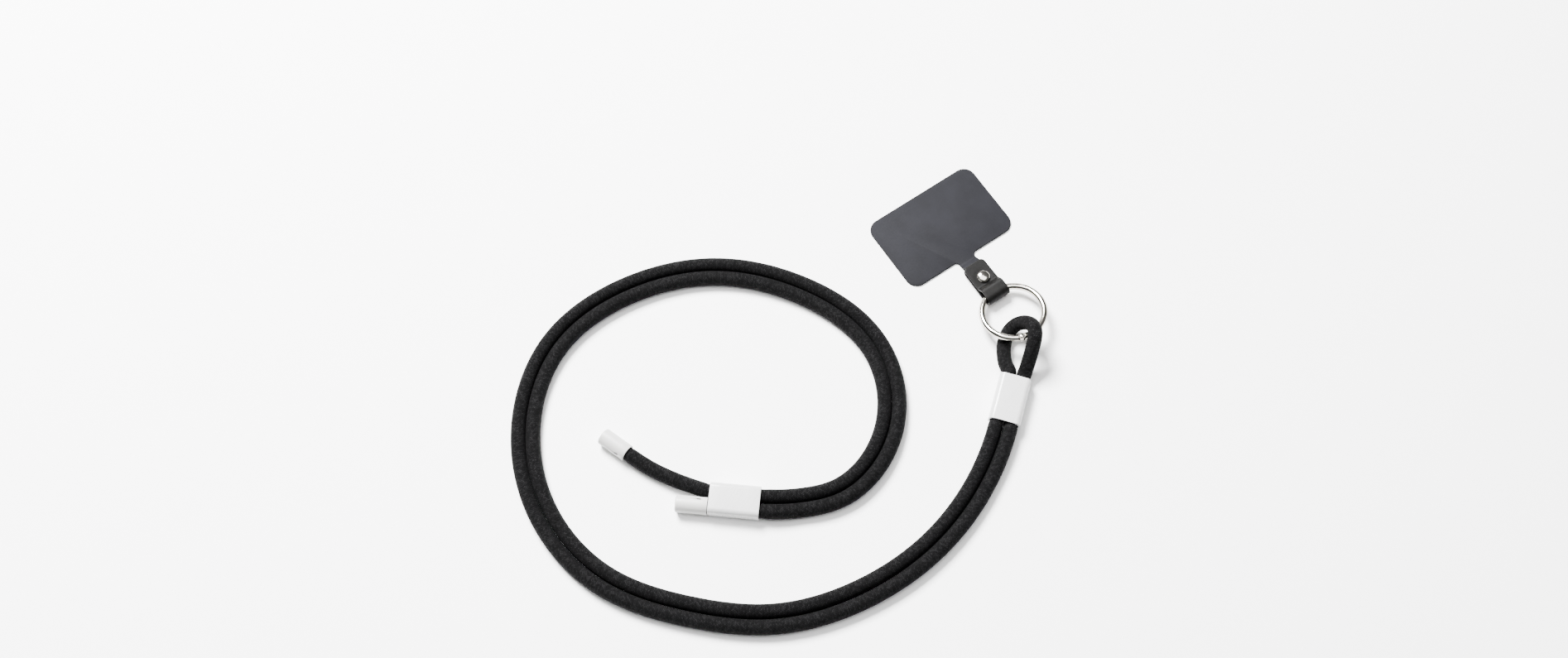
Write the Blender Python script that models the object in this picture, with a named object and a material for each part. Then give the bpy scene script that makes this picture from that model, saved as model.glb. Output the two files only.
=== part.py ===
"""Phone crossbody strap: one doubled round cord, two flat sleeves, two end caps, a spring-gate ring,
a riveted leather tab and the thin tether patch that goes behind a phone.

Lengths are metres and +Z is up. The strap lies loose on the plane z = 0. Places on that plane are
read off a drawing grid in millimetres, and GRID_ORIGIN is the grid point that becomes x = y = 0.
"""
import math

import bmesh
import bpy
import numpy as np
from mathutils import Matrix, Vector

MM = 0.001

# Clearances between pieces that touch on the real strap
GAP = 0.3 * MM
LAYER_GAP = 0.2 * MM
PIN_GAP = 0.2 * MM

# Cord
CORD_D = 6.0 * MM
STRAND_GAP = 0.9 * MM
CORD_STEP = 26.0 * MM
CORD_SIDES_RESOLUTION = 4

# Flat sleeves that hold the two strands side by side
SLEEVE_LENGTH = 23.2 * MM
SLEEVE_WALL = 0.7 * MM
SLEEVE_EDGE = 0.2 * MM
SLEEVE_CORNER = 2.6 * MM
SLEEVE_LEAD = 2.0 * MM
ROUND_STEPS = 11

# End caps
CAP_LENGTH = 14.6 * MM
CAP_WALL = 0.7 * MM
CAP_ASIDE = 0.25 * MM
CAP_BORE_DEPTH = 12.0 * MM
CAP_EDGE = 0.7 * MM
CAP_SLOT_LENGTH = 2.2 * MM
CAP_SLOT_WIDTH = 1.0 * MM
CAP_SLOT_FROM_MOUTH = 3.9 * MM
CAP_SIDES = 32

# Spring-gate ring
RING_WIRE_D = 3.1 * MM
RING_OUTER_D = 32.2 * MM
RING_TILT = math.radians(12.6)
GATE_PIN_ANGLE = math.radians(-21.5)
GATE_LATCH_ANGLE = math.radians(-104.0)
GATE_LIP_ANGLE = math.radians(6.0)
WIRE_SIDES = 16
WIRE_STEP = math.radians(5.0)
SLOT_THICKNESS = 1.6 * MM
CHEEK_FLAT = 1.2 * MM
PIN_D = 1.0 * MM
PIN_HEAD_D = 1.9 * MM
PIN_HEAD_HEIGHT = 0.45 * MM

# Leather tab folded round the ring
LEATHER = 1.2 * MM
TAB_WIDTH = 12.0 * MM
TAB_LENGTH = 17.5 * MM
TAB_CORNER = 2.0 * MM
EYE_SLACK = 0.35 * MM
EYE_SHOULDER = 5.4 * MM
RIVET_FROM_EYE = 8.9 * MM
RIVET_D = 6.0 * MM
RIVET_DOME = 1.4 * MM
RIVET_BACK = 0.5 * MM
RIVET_SHANK_D = 2.6 * MM

# Tether patch
PATCH_WIDTH = 61.0 * MM
PATCH_LENGTH = 40.0 * MM
PATCH_CORNER = 6.0 * MM
PATCH_THICKNESS = 1.0 * MM
NECK_WIDTH = 9.0 * MM
NECK_SHOULDER = 2.0 * MM
NECK_FREE = 5.5 * MM
NECK_END_FROM_EYE = 6.2 * MM

# Places on the drawing grid, in millimetres, and directions in degrees from +X
GRID_ORIGIN = (19.3, -4.66)
RING_CENTRE = (108.0, 5.9)
TETHER_HEADING = math.radians(-56.0)
RING_SLEEVE_CENTRE = (104.5, -37.3)
RING_SLEEVE_HEADING = math.radians(73.6)
SLIDER_CENTRE = (-22.4, -85.4)
SLIDER_HEADING = math.radians(174.4)
CAP_B_MOUTH = (-71.5, -62.9)
CAP_B_HEADING = math.radians(144.0)

# Middle line of the doubled cord from the ring sleeve to the slider: x, y, strand spacing
PAIR_ROUTE = (
    (91.5, -73.0, 6.6), (67.0, -105.8, 6.7), (34.0, -128.2, 7.0), (-3.7, -138.9, 7.2),
    (-42.5, -135.5, 7.2), (-80.4, -121.6, 7.0), (-108.9, -90.6, 6.6), (-118.9, -47.7, 6.5),
    (-106.9, -8.0, 6.5), (-74.8, 18.2, 6.6), (-33.9, 28.3, 6.8), (7.5, 19.1, 6.7),
    (41.1, -7.3, 6.5), (48.9, -48.5, 6.5), (24.5, -81.7, 6.8), (5.8, -86.2, 6.9),
)
# Bight through the ring, from the right strand at the sleeve round to the left one: x, y, z
BIGHT_ROUTE = (
    (113.3, -20.9, 6.4), (114.3, -17.6, 9.2), (115.2, -14.4, 12.4), (116.0, -11.0, 15.0),
    (116.3, -7.6, 16.0), (115.4, -4.2, 15.0), (113.1, -1.7, 12.3), (110.3, -0.6, 8.6),
    (107.7, -1.2, 5.4), (105.5, -3.4, 3.5), (104.1, -6.4, 3.0), (103.2, -10.4, 3.0),
    (103.1, -15.6, 3.1), (104.1, -20.6, 3.6),
)
# Free tail from the slider to the upper end cap: x, y, z
TAIL_ROUTE = ((-38.4, -79.4, 3.4), (-44.6, -77.2, 3.1), (-51.5, -74.4, 3.0), (-58.8, -70.9, 3.0),
              (-65.8, -66.8, 3.4))

# Sizes that follow from the ones above
CORD_R = CORD_D / 2
WIRE_R = RING_WIRE_D / 2
RING_R = (RING_OUTER_D - RING_WIRE_D) / 2
STRAND_SPACING = CORD_D + STRAND_GAP
SLEEVE_BORE_R = CORD_R + GAP
SLEEVE_R = SLEEVE_BORE_R + SLEEVE_WALL
CAP_BORE_R = CORD_R + GAP
CAP_R = CAP_BORE_R + CAP_WALL
TAB_BOTTOM = RIVET_BACK + LAYER_GAP
NECK_BOTTOM = TAB_BOTTOM + LEATHER + LAYER_GAP
TOP_LAYER_BOTTOM = NECK_BOTTOM + PATCH_THICKNESS + LAYER_GAP
EYE_Z = TAB_BOTTOM + LEATHER + GAP + WIRE_R
WIRE_SAGITTA = RING_R - math.sqrt(RING_R ** 2 - (TAB_WIDTH / 2) ** 2)
EYE_R = WIRE_R + GAP + EYE_SLACK / 2
KNUCKLE_R = WIRE_R
SLOT_R = KNUCKLE_R + GAP


def grid(x, y, z=0.0):
    """Point on the drawing grid (mm) as a world position (m)."""
    return Vector(((x - GRID_ORIGIN[0]) * MM, (y - GRID_ORIGIN[1]) * MM, z * MM))


def clear_scene():
    """Remove whatever objects the file holds."""
    for item in list(bpy.data.objects):
        bpy.data.objects.remove(item, do_unlink=True)


def material(name, colour, roughness, metallic=0.0):
    """Principled material with one colour."""
    mat = bpy.data.materials.new(name)
    mat.use_nodes = True
    shader = mat.node_tree.nodes["Principled BSDF"]
    shader.inputs["Base Color"].default_value = (*colour, 1.0)
    shader.inputs["Roughness"].default_value = roughness
    shader.inputs["Metallic"].default_value = metallic
    return mat


def add_object(name, data, mat, parent=None, matrix=None):
    """Put object data in the scene under its node name."""
    item = bpy.data.objects.new(name, data)
    bpy.context.scene.collection.objects.link(item)
    if mat:
        item.data.materials.append(mat)
    if parent:
        item.parent = parent
    if matrix:
        item.matrix_basis = matrix
    return item


def mesh_from(bm, name, smooth_angle=math.radians(40)):
    """Finish a bmesh: faces out, round parts smooth."""
    bmesh.ops.remove_doubles(bm, verts=bm.verts, dist=1e-7)
    bmesh.ops.recalc_face_normals(bm, faces=bm.faces)
    mesh = bpy.data.meshes.new(name)
    bm.to_mesh(mesh)
    bm.free()
    mesh.shade_smooth()
    mesh.set_sharp_from_angle(angle=smooth_angle)
    return mesh


def prism(outline, low, high):
    """Solid from a closed outline in XY between two heights."""
    bm = bmesh.new()
    face = bm.faces.new([bm.verts.new((x, y, low)) for x, y in outline])
    grown = bmesh.ops.extrude_face_region(bm, geom=[face])
    top = [item for item in grown["geom"] if isinstance(item, bmesh.types.BMVert)]
    bmesh.ops.translate(bm, verts=top, vec=(0.0, 0.0, high - low))
    return bm


def disc_outline(radius, sides=32, centre=(0.0, 0.0)):
    """Circle as a closed outline."""
    turns = [2 * math.pi * i / sides for i in range(sides)]
    return [(centre[0] + radius * math.cos(a), centre[1] + radius * math.sin(a)) for a in turns]


def turned(profile, sides):
    """Solid of revolution about Z from a profile of (radius, height) that starts and ends on it."""
    bm = bmesh.new()
    verts = [bm.verts.new((radius, 0.0, height)) for radius, height in profile]
    edges = [bm.edges.new(pair) for pair in zip(verts, verts[1:])]
    bmesh.ops.spin(bm, geom=verts + edges, cent=(0, 0, 0), axis=(0, 0, 1), dvec=(0, 0, 0),
                   angle=2 * math.pi, steps=sides, use_merge=True)
    bmesh.ops.remove_doubles(bm, verts=bm.verts, dist=1e-6)
    return bm


def arc_points(centre, radius, start, end, steps):
    """Points along an arc, both ends included."""
    angles = [start + (end - start) * i / steps for i in range(steps + 1)]
    return [(centre[0] + radius * math.cos(a), centre[1] + radius * math.sin(a)) for a in angles]


def boolean(target, bm, name, operation, parent, matrix=None):
    """Cut or join a guide solid into the target with an exact Boolean."""
    guide = add_object(name, mesh_from(bm, name), None, parent, matrix)
    guide.hide_render = True
    guide.display_type = "WIRE"
    modifier = target.modifiers.new(name, "BOOLEAN")
    modifier.operation = operation
    modifier.object = guide
    modifier.solver = "EXACT"
    return guide


def soften(target, width, angle=math.radians(50), segments=1):
    """Bevel the sharp edges of a piece."""
    modifier = target.modifiers.new("soft_edges", "BEVEL")
    modifier.width = width
    modifier.segments = segments
    modifier.limit_method = "ANGLE"
    modifier.angle_limit = angle


def heading_matrix(place, heading):
    """World placement with local X along a heading on the floor."""
    return Matrix.Translation(place) @ Matrix.Rotation(heading, 4, "Z")


# Sleeves

def stadium(radius, spacing):
    """Flat-sided oval in YZ about two strands a spacing apart."""
    half = spacing / 2
    right = arc_points((half, 0.0), radius, -math.pi / 2, math.pi / 2, ROUND_STEPS)
    left = arc_points((-half, 0.0), radius, math.pi / 2, 3 * math.pi / 2, ROUND_STEPS)
    return right + left


def rounded_oblong(reach, spacing):
    """Outside of a sleeve in YZ, a reach away from both strands, with as many points as a stadium."""
    inset = reach - SLEEVE_CORNER
    half = spacing / 2 + inset
    steps = (ROUND_STEPS - 1) // 2
    outline = []
    for y, z, start in ((half, -inset, -0.5), (half, inset, 0.0), (-half, inset, 0.5), (-half, -inset, 1.0)):
        outline += arc_points((y, z), SLEEVE_CORNER, start * math.pi, (start + 0.5) * math.pi, steps)
    return outline


def build_sleeve(name, mat, centre, heading):
    """Oblong tube round both strands, resting on its flat side."""
    bm = bmesh.new()
    outside = rounded_oblong(SLEEVE_R, STRAND_SPACING)
    inside = stadium(SLEEVE_BORE_R, STRAND_SPACING)
    rings = []
    for end in (-SLEEVE_LENGTH / 2, SLEEVE_LENGTH / 2):
        for outline in (outside, inside):
            rings.append([bm.verts.new((end, y, z)) for y, z in outline])
    outer_back, inner_back, outer_front, inner_front = rings
    count = len(outer_back)
    for first, second in ((outer_back, outer_front), (inner_front, inner_back),
                          (outer_front, inner_front), (inner_back, outer_back)):
        for i in range(count):
            j = (i + 1) % count
            bm.faces.new((first[i], first[j], second[j], second[i]))
    place = grid(*centre) + Vector((0, 0, SLEEVE_R))
    sleeve = add_object(name, mesh_from(bm, name), mat, None, heading_matrix(place, heading))
    soften(sleeve, SLEEVE_EDGE)
    return sleeve


# End caps

def cap_profile():
    """Half section of a cap: closed round end up, bore open at the mouth."""
    shoulder = arc_points((CAP_R - CAP_EDGE, CAP_LENGTH - CAP_EDGE), CAP_EDGE, 0.0, math.pi / 2, 4)
    return ([(0.0, CAP_BORE_DEPTH), (CAP_BORE_R, CAP_BORE_DEPTH), (CAP_BORE_R, 0.0), (CAP_R, 0.0)]
            + shoulder + [(0.0, CAP_LENGTH)])


def build_cap(name, mat, mouth, heading, slot_turn):
    """Round cap on a cord end, lying on the floor, with the small slot in its wall."""
    along = Matrix.Rotation(math.pi / 2, 4, "Y")
    placed = heading_matrix(mouth, heading) @ Matrix.Rotation(slot_turn, 4, "X") @ along
    cap = add_object(name, mesh_from(turned(cap_profile(), CAP_SIDES), name), mat, None, placed)
    half_length, half_width = CAP_SLOT_LENGTH / 2, CAP_SLOT_WIDTH / 2
    round_end = half_width
    outline = (arc_points((half_length - round_end, 0.0), round_end, -math.pi / 2, math.pi / 2, 6)
               + arc_points((round_end - half_length, 0.0), round_end, math.pi / 2, 3 * math.pi / 2, 6))
    slot = prism(outline, CAP_BORE_R - CAP_WALL, CAP_R + CAP_WALL)
    slot_place = placed @ Matrix.Translation((0, 0, CAP_SLOT_FROM_MOUTH)) @ Matrix.Rotation(
        math.pi / 2, 4, "Y") @ Matrix.Rotation(math.pi, 4, "X")
    boolean(cap, slot, name + "_slot_cutter", "DIFFERENCE", None, slot_place)
    return cap


# Tether: tab, rivet and patch, in a frame with X along the heading and its origin under the ring's eye

def tab_profile():
    """Side view of the folded tab in XZ: bottom layer, eye round the wire, top layer."""
    floor = TAB_BOTTOM
    inner = floor + LEATHER
    eye_z = inner + EYE_R
    front = WIRE_SAGITTA
    top_layer = TOP_LAYER_BOTTOM
    shoulder = -EYE_SHOULDER
    outer_arc = arc_points((front, eye_z), EYE_R + LEATHER, -math.pi / 2, math.pi / 2, 14)
    inner_arc = arc_points((front, eye_z), EYE_R, math.pi / 2, -math.pi / 2, 12)
    crown = -EYE_R
    profile = [(-TAB_LENGTH, floor)] + outer_arc
    profile += [(crown, eye_z + EYE_R + LEATHER), (shoulder, top_layer + LEATHER)]
    profile += [(-TAB_LENGTH, top_layer + LEATHER), (-TAB_LENGTH, top_layer), (shoulder, top_layer)]
    profile += [(crown, eye_z + EYE_R)] + inner_arc + [(-TAB_LENGTH, inner)]
    return profile


def build_tab(mat, tether):
    """Leather strip folded round the wire, with its rear corners rounded."""
    bm = prism(tab_profile(), -TAB_WIDTH / 2, TAB_WIDTH / 2)
    bmesh.ops.rotate(bm, verts=bm.verts, cent=(0, 0, 0), matrix=Matrix.Rotation(math.pi / 2, 3, "X"))
    corners = [edge for edge in bm.edges
               if all(abs(v.co.x + TAB_LENGTH) < 1e-6 for v in edge.verts)
               and abs(edge.verts[0].co.y - edge.verts[1].co.y) < 1e-6]
    bmesh.ops.bevel(bm, geom=corners, offset=TAB_CORNER, segments=5, profile=0.5, affect="EDGES")
    tab = add_object("leather_tab", mesh_from(bm, "leather_tab"), mat, tether)
    hole = prism(disc_outline(RIVET_SHANK_D / 2 + GAP, 24), 0.0, TOP_LAYER_BOTTOM + 2 * LEATHER)
    rivet_place = Matrix.Translation((-RIVET_FROM_EYE, 0, 0))
    boolean(tab, hole, "tab_rivet_hole", "DIFFERENCE", tether, rivet_place)
    return tab


def build_rivet(mat, tether):
    """Domed rivet through both layers of the tab and the patch's neck, with a flat back."""
    seat = TOP_LAYER_BOTTOM + LEATHER + LAYER_GAP
    rim = RIVET_DOME * 0.25
    dome = [(RIVET_D / 2 * math.cos(a), seat + rim + (RIVET_DOME - rim) * math.sin(a))
            for a in (math.pi / 2 * i / 6 for i in range(6))]
    profile = [(0.0, 0.0), (RIVET_D / 2, 0.0), (RIVET_D / 2, RIVET_BACK), (RIVET_SHANK_D / 2, RIVET_BACK),
               (RIVET_SHANK_D / 2, seat), (RIVET_D / 2, seat)] + dome + [(0.0, seat + RIVET_DOME)]
    bm = turned(profile, 28)
    place = Matrix.Translation((-RIVET_FROM_EYE, 0, 0))
    return add_object("rivet", mesh_from(bm, "rivet"), mat, tether, place)


def neck_lift(x):
    """Height of the patch's underside: flat on the floor, then an easy rise into the tab."""
    start = -TAB_LENGTH - NECK_FREE + NECK_SHOULDER
    end = -TAB_LENGTH
    share = min(max((x - start) / (end - start), 0.0), 1.0)
    return NECK_BOTTOM * share * share * (3 - 2 * share)


def patch_outlines():
    """Left edge of the flat sheet from its far end to the neck's root, then of the neck, as (x, y)."""
    near = -TAB_LENGTH - NECK_FREE
    far = near - PATCH_LENGTH
    half = PATCH_WIDTH / 2
    neck = NECK_WIDTH / 2
    far_corner = arc_points((far + PATCH_CORNER, half - PATCH_CORNER), PATCH_CORNER,
                            math.pi, math.pi / 2, 6)
    near_corner = arc_points((near - PATCH_CORNER, half - PATCH_CORNER), PATCH_CORNER,
                             math.pi / 2, 0.0, 6)
    shoulder = arc_points((near + NECK_SHOULDER, neck + NECK_SHOULDER), NECK_SHOULDER,
                          math.pi, 3 * math.pi / 2, 5)
    rise = np.linspace(near + NECK_SHOULDER, -TAB_LENGTH, 7)[1:]
    return far_corner + near_corner + shoulder, [(x, neck) for x in [*rise, -NECK_END_FROM_EYE]]


def build_patch(mat, tether):
    """Thin rounded sheet with a neck that climbs into the tab."""
    flat, neck = patch_outlines()
    bm = bmesh.new()
    layers = []
    for thickness in (0.0, PATCH_THICKNESS):
        rows = []
        for x, y in flat + neck:
            z = neck_lift(x) + thickness
            rows.append((bm.verts.new((x, -y, z)), bm.verts.new((x, y, z))))
        layers.append(rows)
    root = len(flat) - 1
    for rows in layers:
        bm.faces.new([row[0] for row in rows[:root + 1]] + [row[1] for row in reversed(rows[:root + 1])])
        for (right, left), (next_right, next_left) in zip(rows[root:], rows[root + 1:]):
            bm.faces.new((right, left, next_left, next_right))
    lower, upper = layers
    for side in (0, 1):
        for i in range(len(lower) - 1):
            bm.faces.new((lower[i][side], lower[i + 1][side], upper[i + 1][side], upper[i][side]))
    for row in (0, -1):
        bm.faces.new((lower[row][0], lower[row][1], upper[row][1], upper[row][0]))
    patch = add_object("tether_patch", mesh_from(bm, "tether_patch"), mat, tether)
    hole = prism(disc_outline(RIVET_SHANK_D / 2 + GAP, 24), 0.0, TOP_LAYER_BOTTOM + 2 * LEATHER)
    place = Matrix.Translation((-RIVET_FROM_EYE, 0, 0))
    boolean(patch, hole, "patch_rivet_hole", "DIFFERENCE", tether, place)
    return patch


# Ring, in a frame with X from the eye to the bight, Z normal to the ring and its origin at the centre

def polar(radius, angle):
    """Point in the ring's plane."""
    return (radius * math.cos(angle), radius * math.sin(angle))


def bent_wire(start, end):
    """Round wire along an arc of the ring, with flat ends."""
    bm = bmesh.new()
    steps = max(2, math.ceil(abs(end - start) / WIRE_STEP))
    sections = []
    for i in range(steps + 1):
        angle = start + (end - start) * i / steps
        ring = []
        for k in range(WIRE_SIDES):
            turn = 2 * math.pi * (k + 0.5) / WIRE_SIDES
            radius = RING_R + WIRE_R * math.cos(turn)
            ring.append(bm.verts.new((*polar(radius, angle), WIRE_R * math.sin(turn))))
        sections.append(ring)
    for first, second in zip(sections, sections[1:]):
        for k in range(WIRE_SIDES):
            j = (k + 1) % WIRE_SIDES
            bm.faces.new((first[k], first[j], second[j], second[k]))
    bm.faces.new(sections[0])
    bm.faces.new(sections[-1])
    return bm


def seam_angle(radius, reach):
    """Angle at which a circle of that reach about the gate's pin crosses a radius of the ring."""
    cosine = (RING_R ** 2 + radius ** 2 - reach ** 2) / (2 * RING_R * radius)
    return GATE_PIN_ANGLE - math.acos(cosine)


def reach_to(angle):
    """Distance from the gate's pin to the wire's middle line at an angle of the ring."""
    return (Vector(polar(RING_R, angle)) - Vector(polar(RING_R, GATE_PIN_ANGLE))).length


def latch_outline(clearance, split, beyond):
    """Outline on one side of the latch's stepped seam, whose two faces are arcs about the pin."""
    outside, inside = RING_R + 2 * WIRE_R, RING_R - 2 * WIRE_R
    lip = reach_to(GATE_LATCH_ANGLE + GATE_LIP_ANGLE) + clearance
    tip = reach_to(GATE_LATCH_ANGLE) + clearance
    outline = [polar(radius, seam_angle(radius, lip)) for radius in np.linspace(outside, split, 7)]
    start, end = seam_angle(split, lip), seam_angle(split, tip)
    outline += [polar(split, start + (end - start) * share) for share in (0.25, 0.5, 0.75)]
    outline += [polar(radius, seam_angle(radius, tip)) for radius in np.linspace(split, inside, 9)]
    return outline + [polar(inside, beyond), polar(outside, beyond)]


def build_ring_body(mat, ring):
    """Fixed part of the ring: a fork round the pin at one end, an outer lip at the latch."""
    lip_end = GATE_LATCH_ANGLE + 2 * GATE_LIP_ANGLE
    body = add_object("ring_body", mesh_from(bent_wire(GATE_PIN_ANGLE, lip_end + 2 * math.pi),
                                             "ring_body"), mat, ring)
    pin = Matrix.Translation((*polar(RING_R, GATE_PIN_ANGLE), 0))
    knuckle = prism(disc_outline(KNUCKLE_R), -CHEEK_FLAT, CHEEK_FLAT)
    boolean(body, knuckle, "fork_knuckle", "UNION", ring, pin)
    for side, name in ((1, "upper_spot_face"), (-1, "lower_spot_face")):
        low, high = sorted((side * CHEEK_FLAT, side * 2 * WIRE_R))
        boolean(body, prism(disc_outline(KNUCKLE_R + PIN_GAP), low, high), name, "DIFFERENCE", ring, pin)
    slot = prism(disc_outline(SLOT_R), -SLOT_THICKNESS / 2, SLOT_THICKNESS / 2)
    boolean(body, slot, "fork_slot", "DIFFERENCE", ring, pin)
    bore = prism(disc_outline(PIN_D / 2 + PIN_GAP, 20), -2 * WIRE_R, 2 * WIRE_R)
    boolean(body, bore, "fork_bore", "DIFFERENCE", ring, pin)
    latch = latch_outline(GAP, RING_R + GAP / 2, lip_end + 2 * GATE_LIP_ANGLE)
    boolean(body, prism(latch, -2 * WIRE_R, 2 * WIRE_R), "latch_cutter", "DIFFERENCE", ring)
    return body


def build_ring_gate(mat, ring):
    """Swinging part of the ring, modelled about its pin."""
    pin_at = Vector((*polar(RING_R, GATE_PIN_ANGLE), 0))
    past_tip = GATE_LATCH_ANGLE - 2 * GATE_LIP_ANGLE
    bm = bent_wire(past_tip, GATE_PIN_ANGLE)
    bmesh.ops.translate(bm, verts=bm.verts, vec=-pin_at)
    gate = add_object("ring_gate", mesh_from(bm, "ring_gate"), mat, ring, Matrix.Translation(pin_at))
    at_pin = Matrix.Translation(pin_at)
    boolean(gate, prism(disc_outline(SLOT_R), -2 * WIRE_R, 2 * WIRE_R), "gate_shoulder", "DIFFERENCE",
            ring, at_pin)
    half = (SLOT_THICKNESS / 2) - GAP
    tongue_r = KNUCKLE_R - GAP / 2
    side = Vector(polar(1.0, GATE_PIN_ANGLE))
    along = Vector(polar(1.0, GATE_PIN_ANGLE - math.pi / 2))
    bar_half, bar_length = WIRE_R * 0.75, SLOT_R + WIRE_R
    corners = [side * -bar_half, side * -bar_half + along * bar_length,
               side * bar_half + along * bar_length, side * bar_half]
    boolean(gate, prism([tuple(c) for c in corners], -half, half), "gate_tongue_bar", "UNION", ring, at_pin)
    boolean(gate, prism(disc_outline(tongue_r), -half * 0.999, half * 0.999), "gate_tongue_round", "UNION",
            ring, at_pin)
    boolean(gate, prism(disc_outline(PIN_D / 2 + PIN_GAP, 20), -2 * WIRE_R, 2 * WIRE_R), "gate_bore",
            "DIFFERENCE", ring, at_pin)
    latch = latch_outline(0.0, RING_R - GAP / 2, past_tip - 2 * GATE_LIP_ANGLE)
    boolean(gate, prism(latch, -2 * WIRE_R, 2 * WIRE_R), "gate_tip_cutter", "DIFFERENCE", ring)
    return gate


def build_ring_pin(mat, ring):
    """Small rivet that the gate swings on, headed on both faces of the fork."""
    shank = PIN_D / 2
    head = PIN_HEAD_D / 2
    under = CHEEK_FLAT + PIN_GAP
    crown = under + PIN_HEAD_HEIGHT
    upper = [(shank, under), (head, under), (head, under + PIN_HEAD_HEIGHT * 0.4),
             (head * 0.7, under + PIN_HEAD_HEIGHT * 0.85), (0.0, crown)]
    lower = [(radius, -height) for radius, height in reversed(upper)]
    place = Matrix.Translation((*polar(RING_R, GATE_PIN_ANGLE), 0))
    return add_object("ring_pin", mesh_from(turned(lower + upper, 20), "ring_pin"), mat, ring, place)


# Cord

def spline_through(points):
    """Natural cubic spline by chord length; gives the knots and a function of the length."""
    knots = np.array(points, dtype=float)
    spans = np.linalg.norm(np.diff(knots, axis=0), axis=1)
    at = np.concatenate(([0.0], np.cumsum(spans)))
    count = len(knots)
    system = np.eye(count)
    right = np.zeros((count, 3))
    for i in range(1, count - 1):
        system[i, i - 1:i + 2] = (spans[i - 1], 2 * (spans[i - 1] + spans[i]), spans[i])
        right[i] = 6 * ((knots[i + 1] - knots[i]) / spans[i] - (knots[i] - knots[i - 1]) / spans[i - 1])
    bend = np.linalg.solve(system, right)

    def curve(length):
        i = min(max(int(np.searchsorted(at, length)) - 1, 0), count - 2)
        span = spans[i]
        a, b = (at[i + 1] - length) / span, (length - at[i]) / span
        return (a * knots[i] + b * knots[i + 1]
                + ((a ** 3 - a) * bend[i] + (b ** 3 - b) * bend[i + 1]) * span ** 2 / 6)

    return at, curve


def side_offset(middle, spacing, side):
    """Shift a middle line sideways by half the strand spacing; side is +1 to its left."""
    at, curve = spline_through(middle)
    moved = middle.copy()
    for i, length in enumerate(at):
        ahead = (curve(min(length + MM, at[-1])) - curve(max(length - MM, 0.0)))[:2]
        ahead /= np.linalg.norm(ahead)
        moved[i, :2] += np.array((-ahead[1], ahead[0])) * side * spacing[i] / 2
    return moved


def sleeve_line(centre, heading):
    """Five points on the sleeve's axis: before the back mouth, at it, midway, at the front mouth, past it."""
    middle = np.array(grid(*centre)) + np.array((0, 0, SLEEVE_R))
    along = np.array((math.cos(heading), math.sin(heading), 0.0))
    half = SLEEVE_LENGTH / 2
    lead = half + SLEEVE_LEAD
    return [middle + along * reach for reach in (-lead, -half, 0.0, half, lead)]


def pair_line():
    """Middle line of the doubled cord, from past the ring sleeve to the slider's far mouth."""
    ring_sleeve = sleeve_line(RING_SLEEVE_CENTRE, RING_SLEEVE_HEADING)
    slider = sleeve_line(SLIDER_CENTRE, SLIDER_HEADING)[:-1]
    route = [np.array(grid(x, y)) + np.array((0, 0, CORD_R)) for x, y, _ in PAIR_ROUTE]
    middle = np.array([*reversed(ring_sleeve), *route, *slider])
    spacing = [STRAND_SPACING] * 5 + [s * MM for _, _, s in PAIR_ROUTE] + [STRAND_SPACING] * 4
    return middle, np.array(spacing)


def cap_a_mouth():
    """Mouth of the lower cap, against the slider, on the outer strand."""
    mouth = sleeve_line(SLIDER_CENTRE, SLIDER_HEADING)[3]
    along = np.array((math.cos(SLIDER_HEADING), math.sin(SLIDER_HEADING), 0.0))
    outward = np.array((-along[1], along[0], 0.0))
    place = mouth + along * GAP + outward * (STRAND_SPACING / 2 + CAP_ASIDE)
    place[2] = CAP_R
    return place


def cap_b_mouth():
    """Mouth of the upper cap at the end of the free tail."""
    return np.array(grid(*CAP_B_MOUTH)) + np.array((0, 0, CAP_R))


def cord_route():
    """Route points of the whole cord, from inside the lower cap to inside the upper one."""
    middle, spacing = pair_line()
    inner = side_offset(middle, spacing, -1)
    outer = side_offset(middle, spacing, 1)
    bight = [np.array(grid(*point)) for point in BIGHT_ROUTE]
    tail = [np.array(grid(*point)) for point in TAIL_ROUTE]
    inside = CAP_BORE_DEPTH - GAP
    a_in = cap_a_mouth() + inside * np.array((math.cos(SLIDER_HEADING), math.sin(SLIDER_HEADING), 0.0))
    b_mouth = cap_b_mouth()
    b_in = b_mouth + inside * np.array((math.cos(CAP_B_HEADING), math.sin(CAP_B_HEADING), 0.0))
    return [a_in, *outer[::-1], *bight, *inner, *tail, b_mouth, b_in]


def tube_stations():
    """Places along the route, as fractional point numbers, where the tube gets a point.

    Both strands get theirs side by side, at the sleeves' mouths and evenly between the sleeves.
    """
    middle, _ = pair_line()
    at, _ = spline_through(middle)
    last = len(middle) - 1
    ring_front, ring_back, slider_back = 1, 3, last - 2
    pieces = math.ceil((at[slider_back] - at[ring_back]) / CORD_STEP)
    lengths = [at[ring_front], *np.linspace(at[ring_back], at[slider_back], pieces + 1), at[last]]
    strand = np.interp(lengths, at, range(last + 1))
    bight = len(middle) + 1
    inner = bight + len(BIGHT_ROUTE)
    tail = inner + len(middle)
    return [0.0, *(1 + last - strand[::-1]), *range(bight, inner), *(inner + strand),
            *range(tail, tail + len(TAIL_ROUTE) + 2)]


def build_cord(mat):
    """Plain tube along a smooth curve through the route, never below the floor."""
    at, curve = spline_through(cord_route())
    lengths = np.interp(tube_stations(), range(len(at)), at)
    data = bpy.data.curves.new("cord", "CURVE")
    data.dimensions = "3D"
    data.bevel_depth = CORD_R
    data.bevel_resolution = CORD_SIDES_RESOLUTION
    data.use_fill_caps = True
    spline = data.splines.new("POLY")
    spline.points.add(len(lengths) - 1)
    for point, length in zip(spline.points, lengths):
        x, y, z = curve(length)
        point.co = (x, y, max(z, CORD_R), 1.0)
    return add_object("cord", data, mat)


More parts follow.
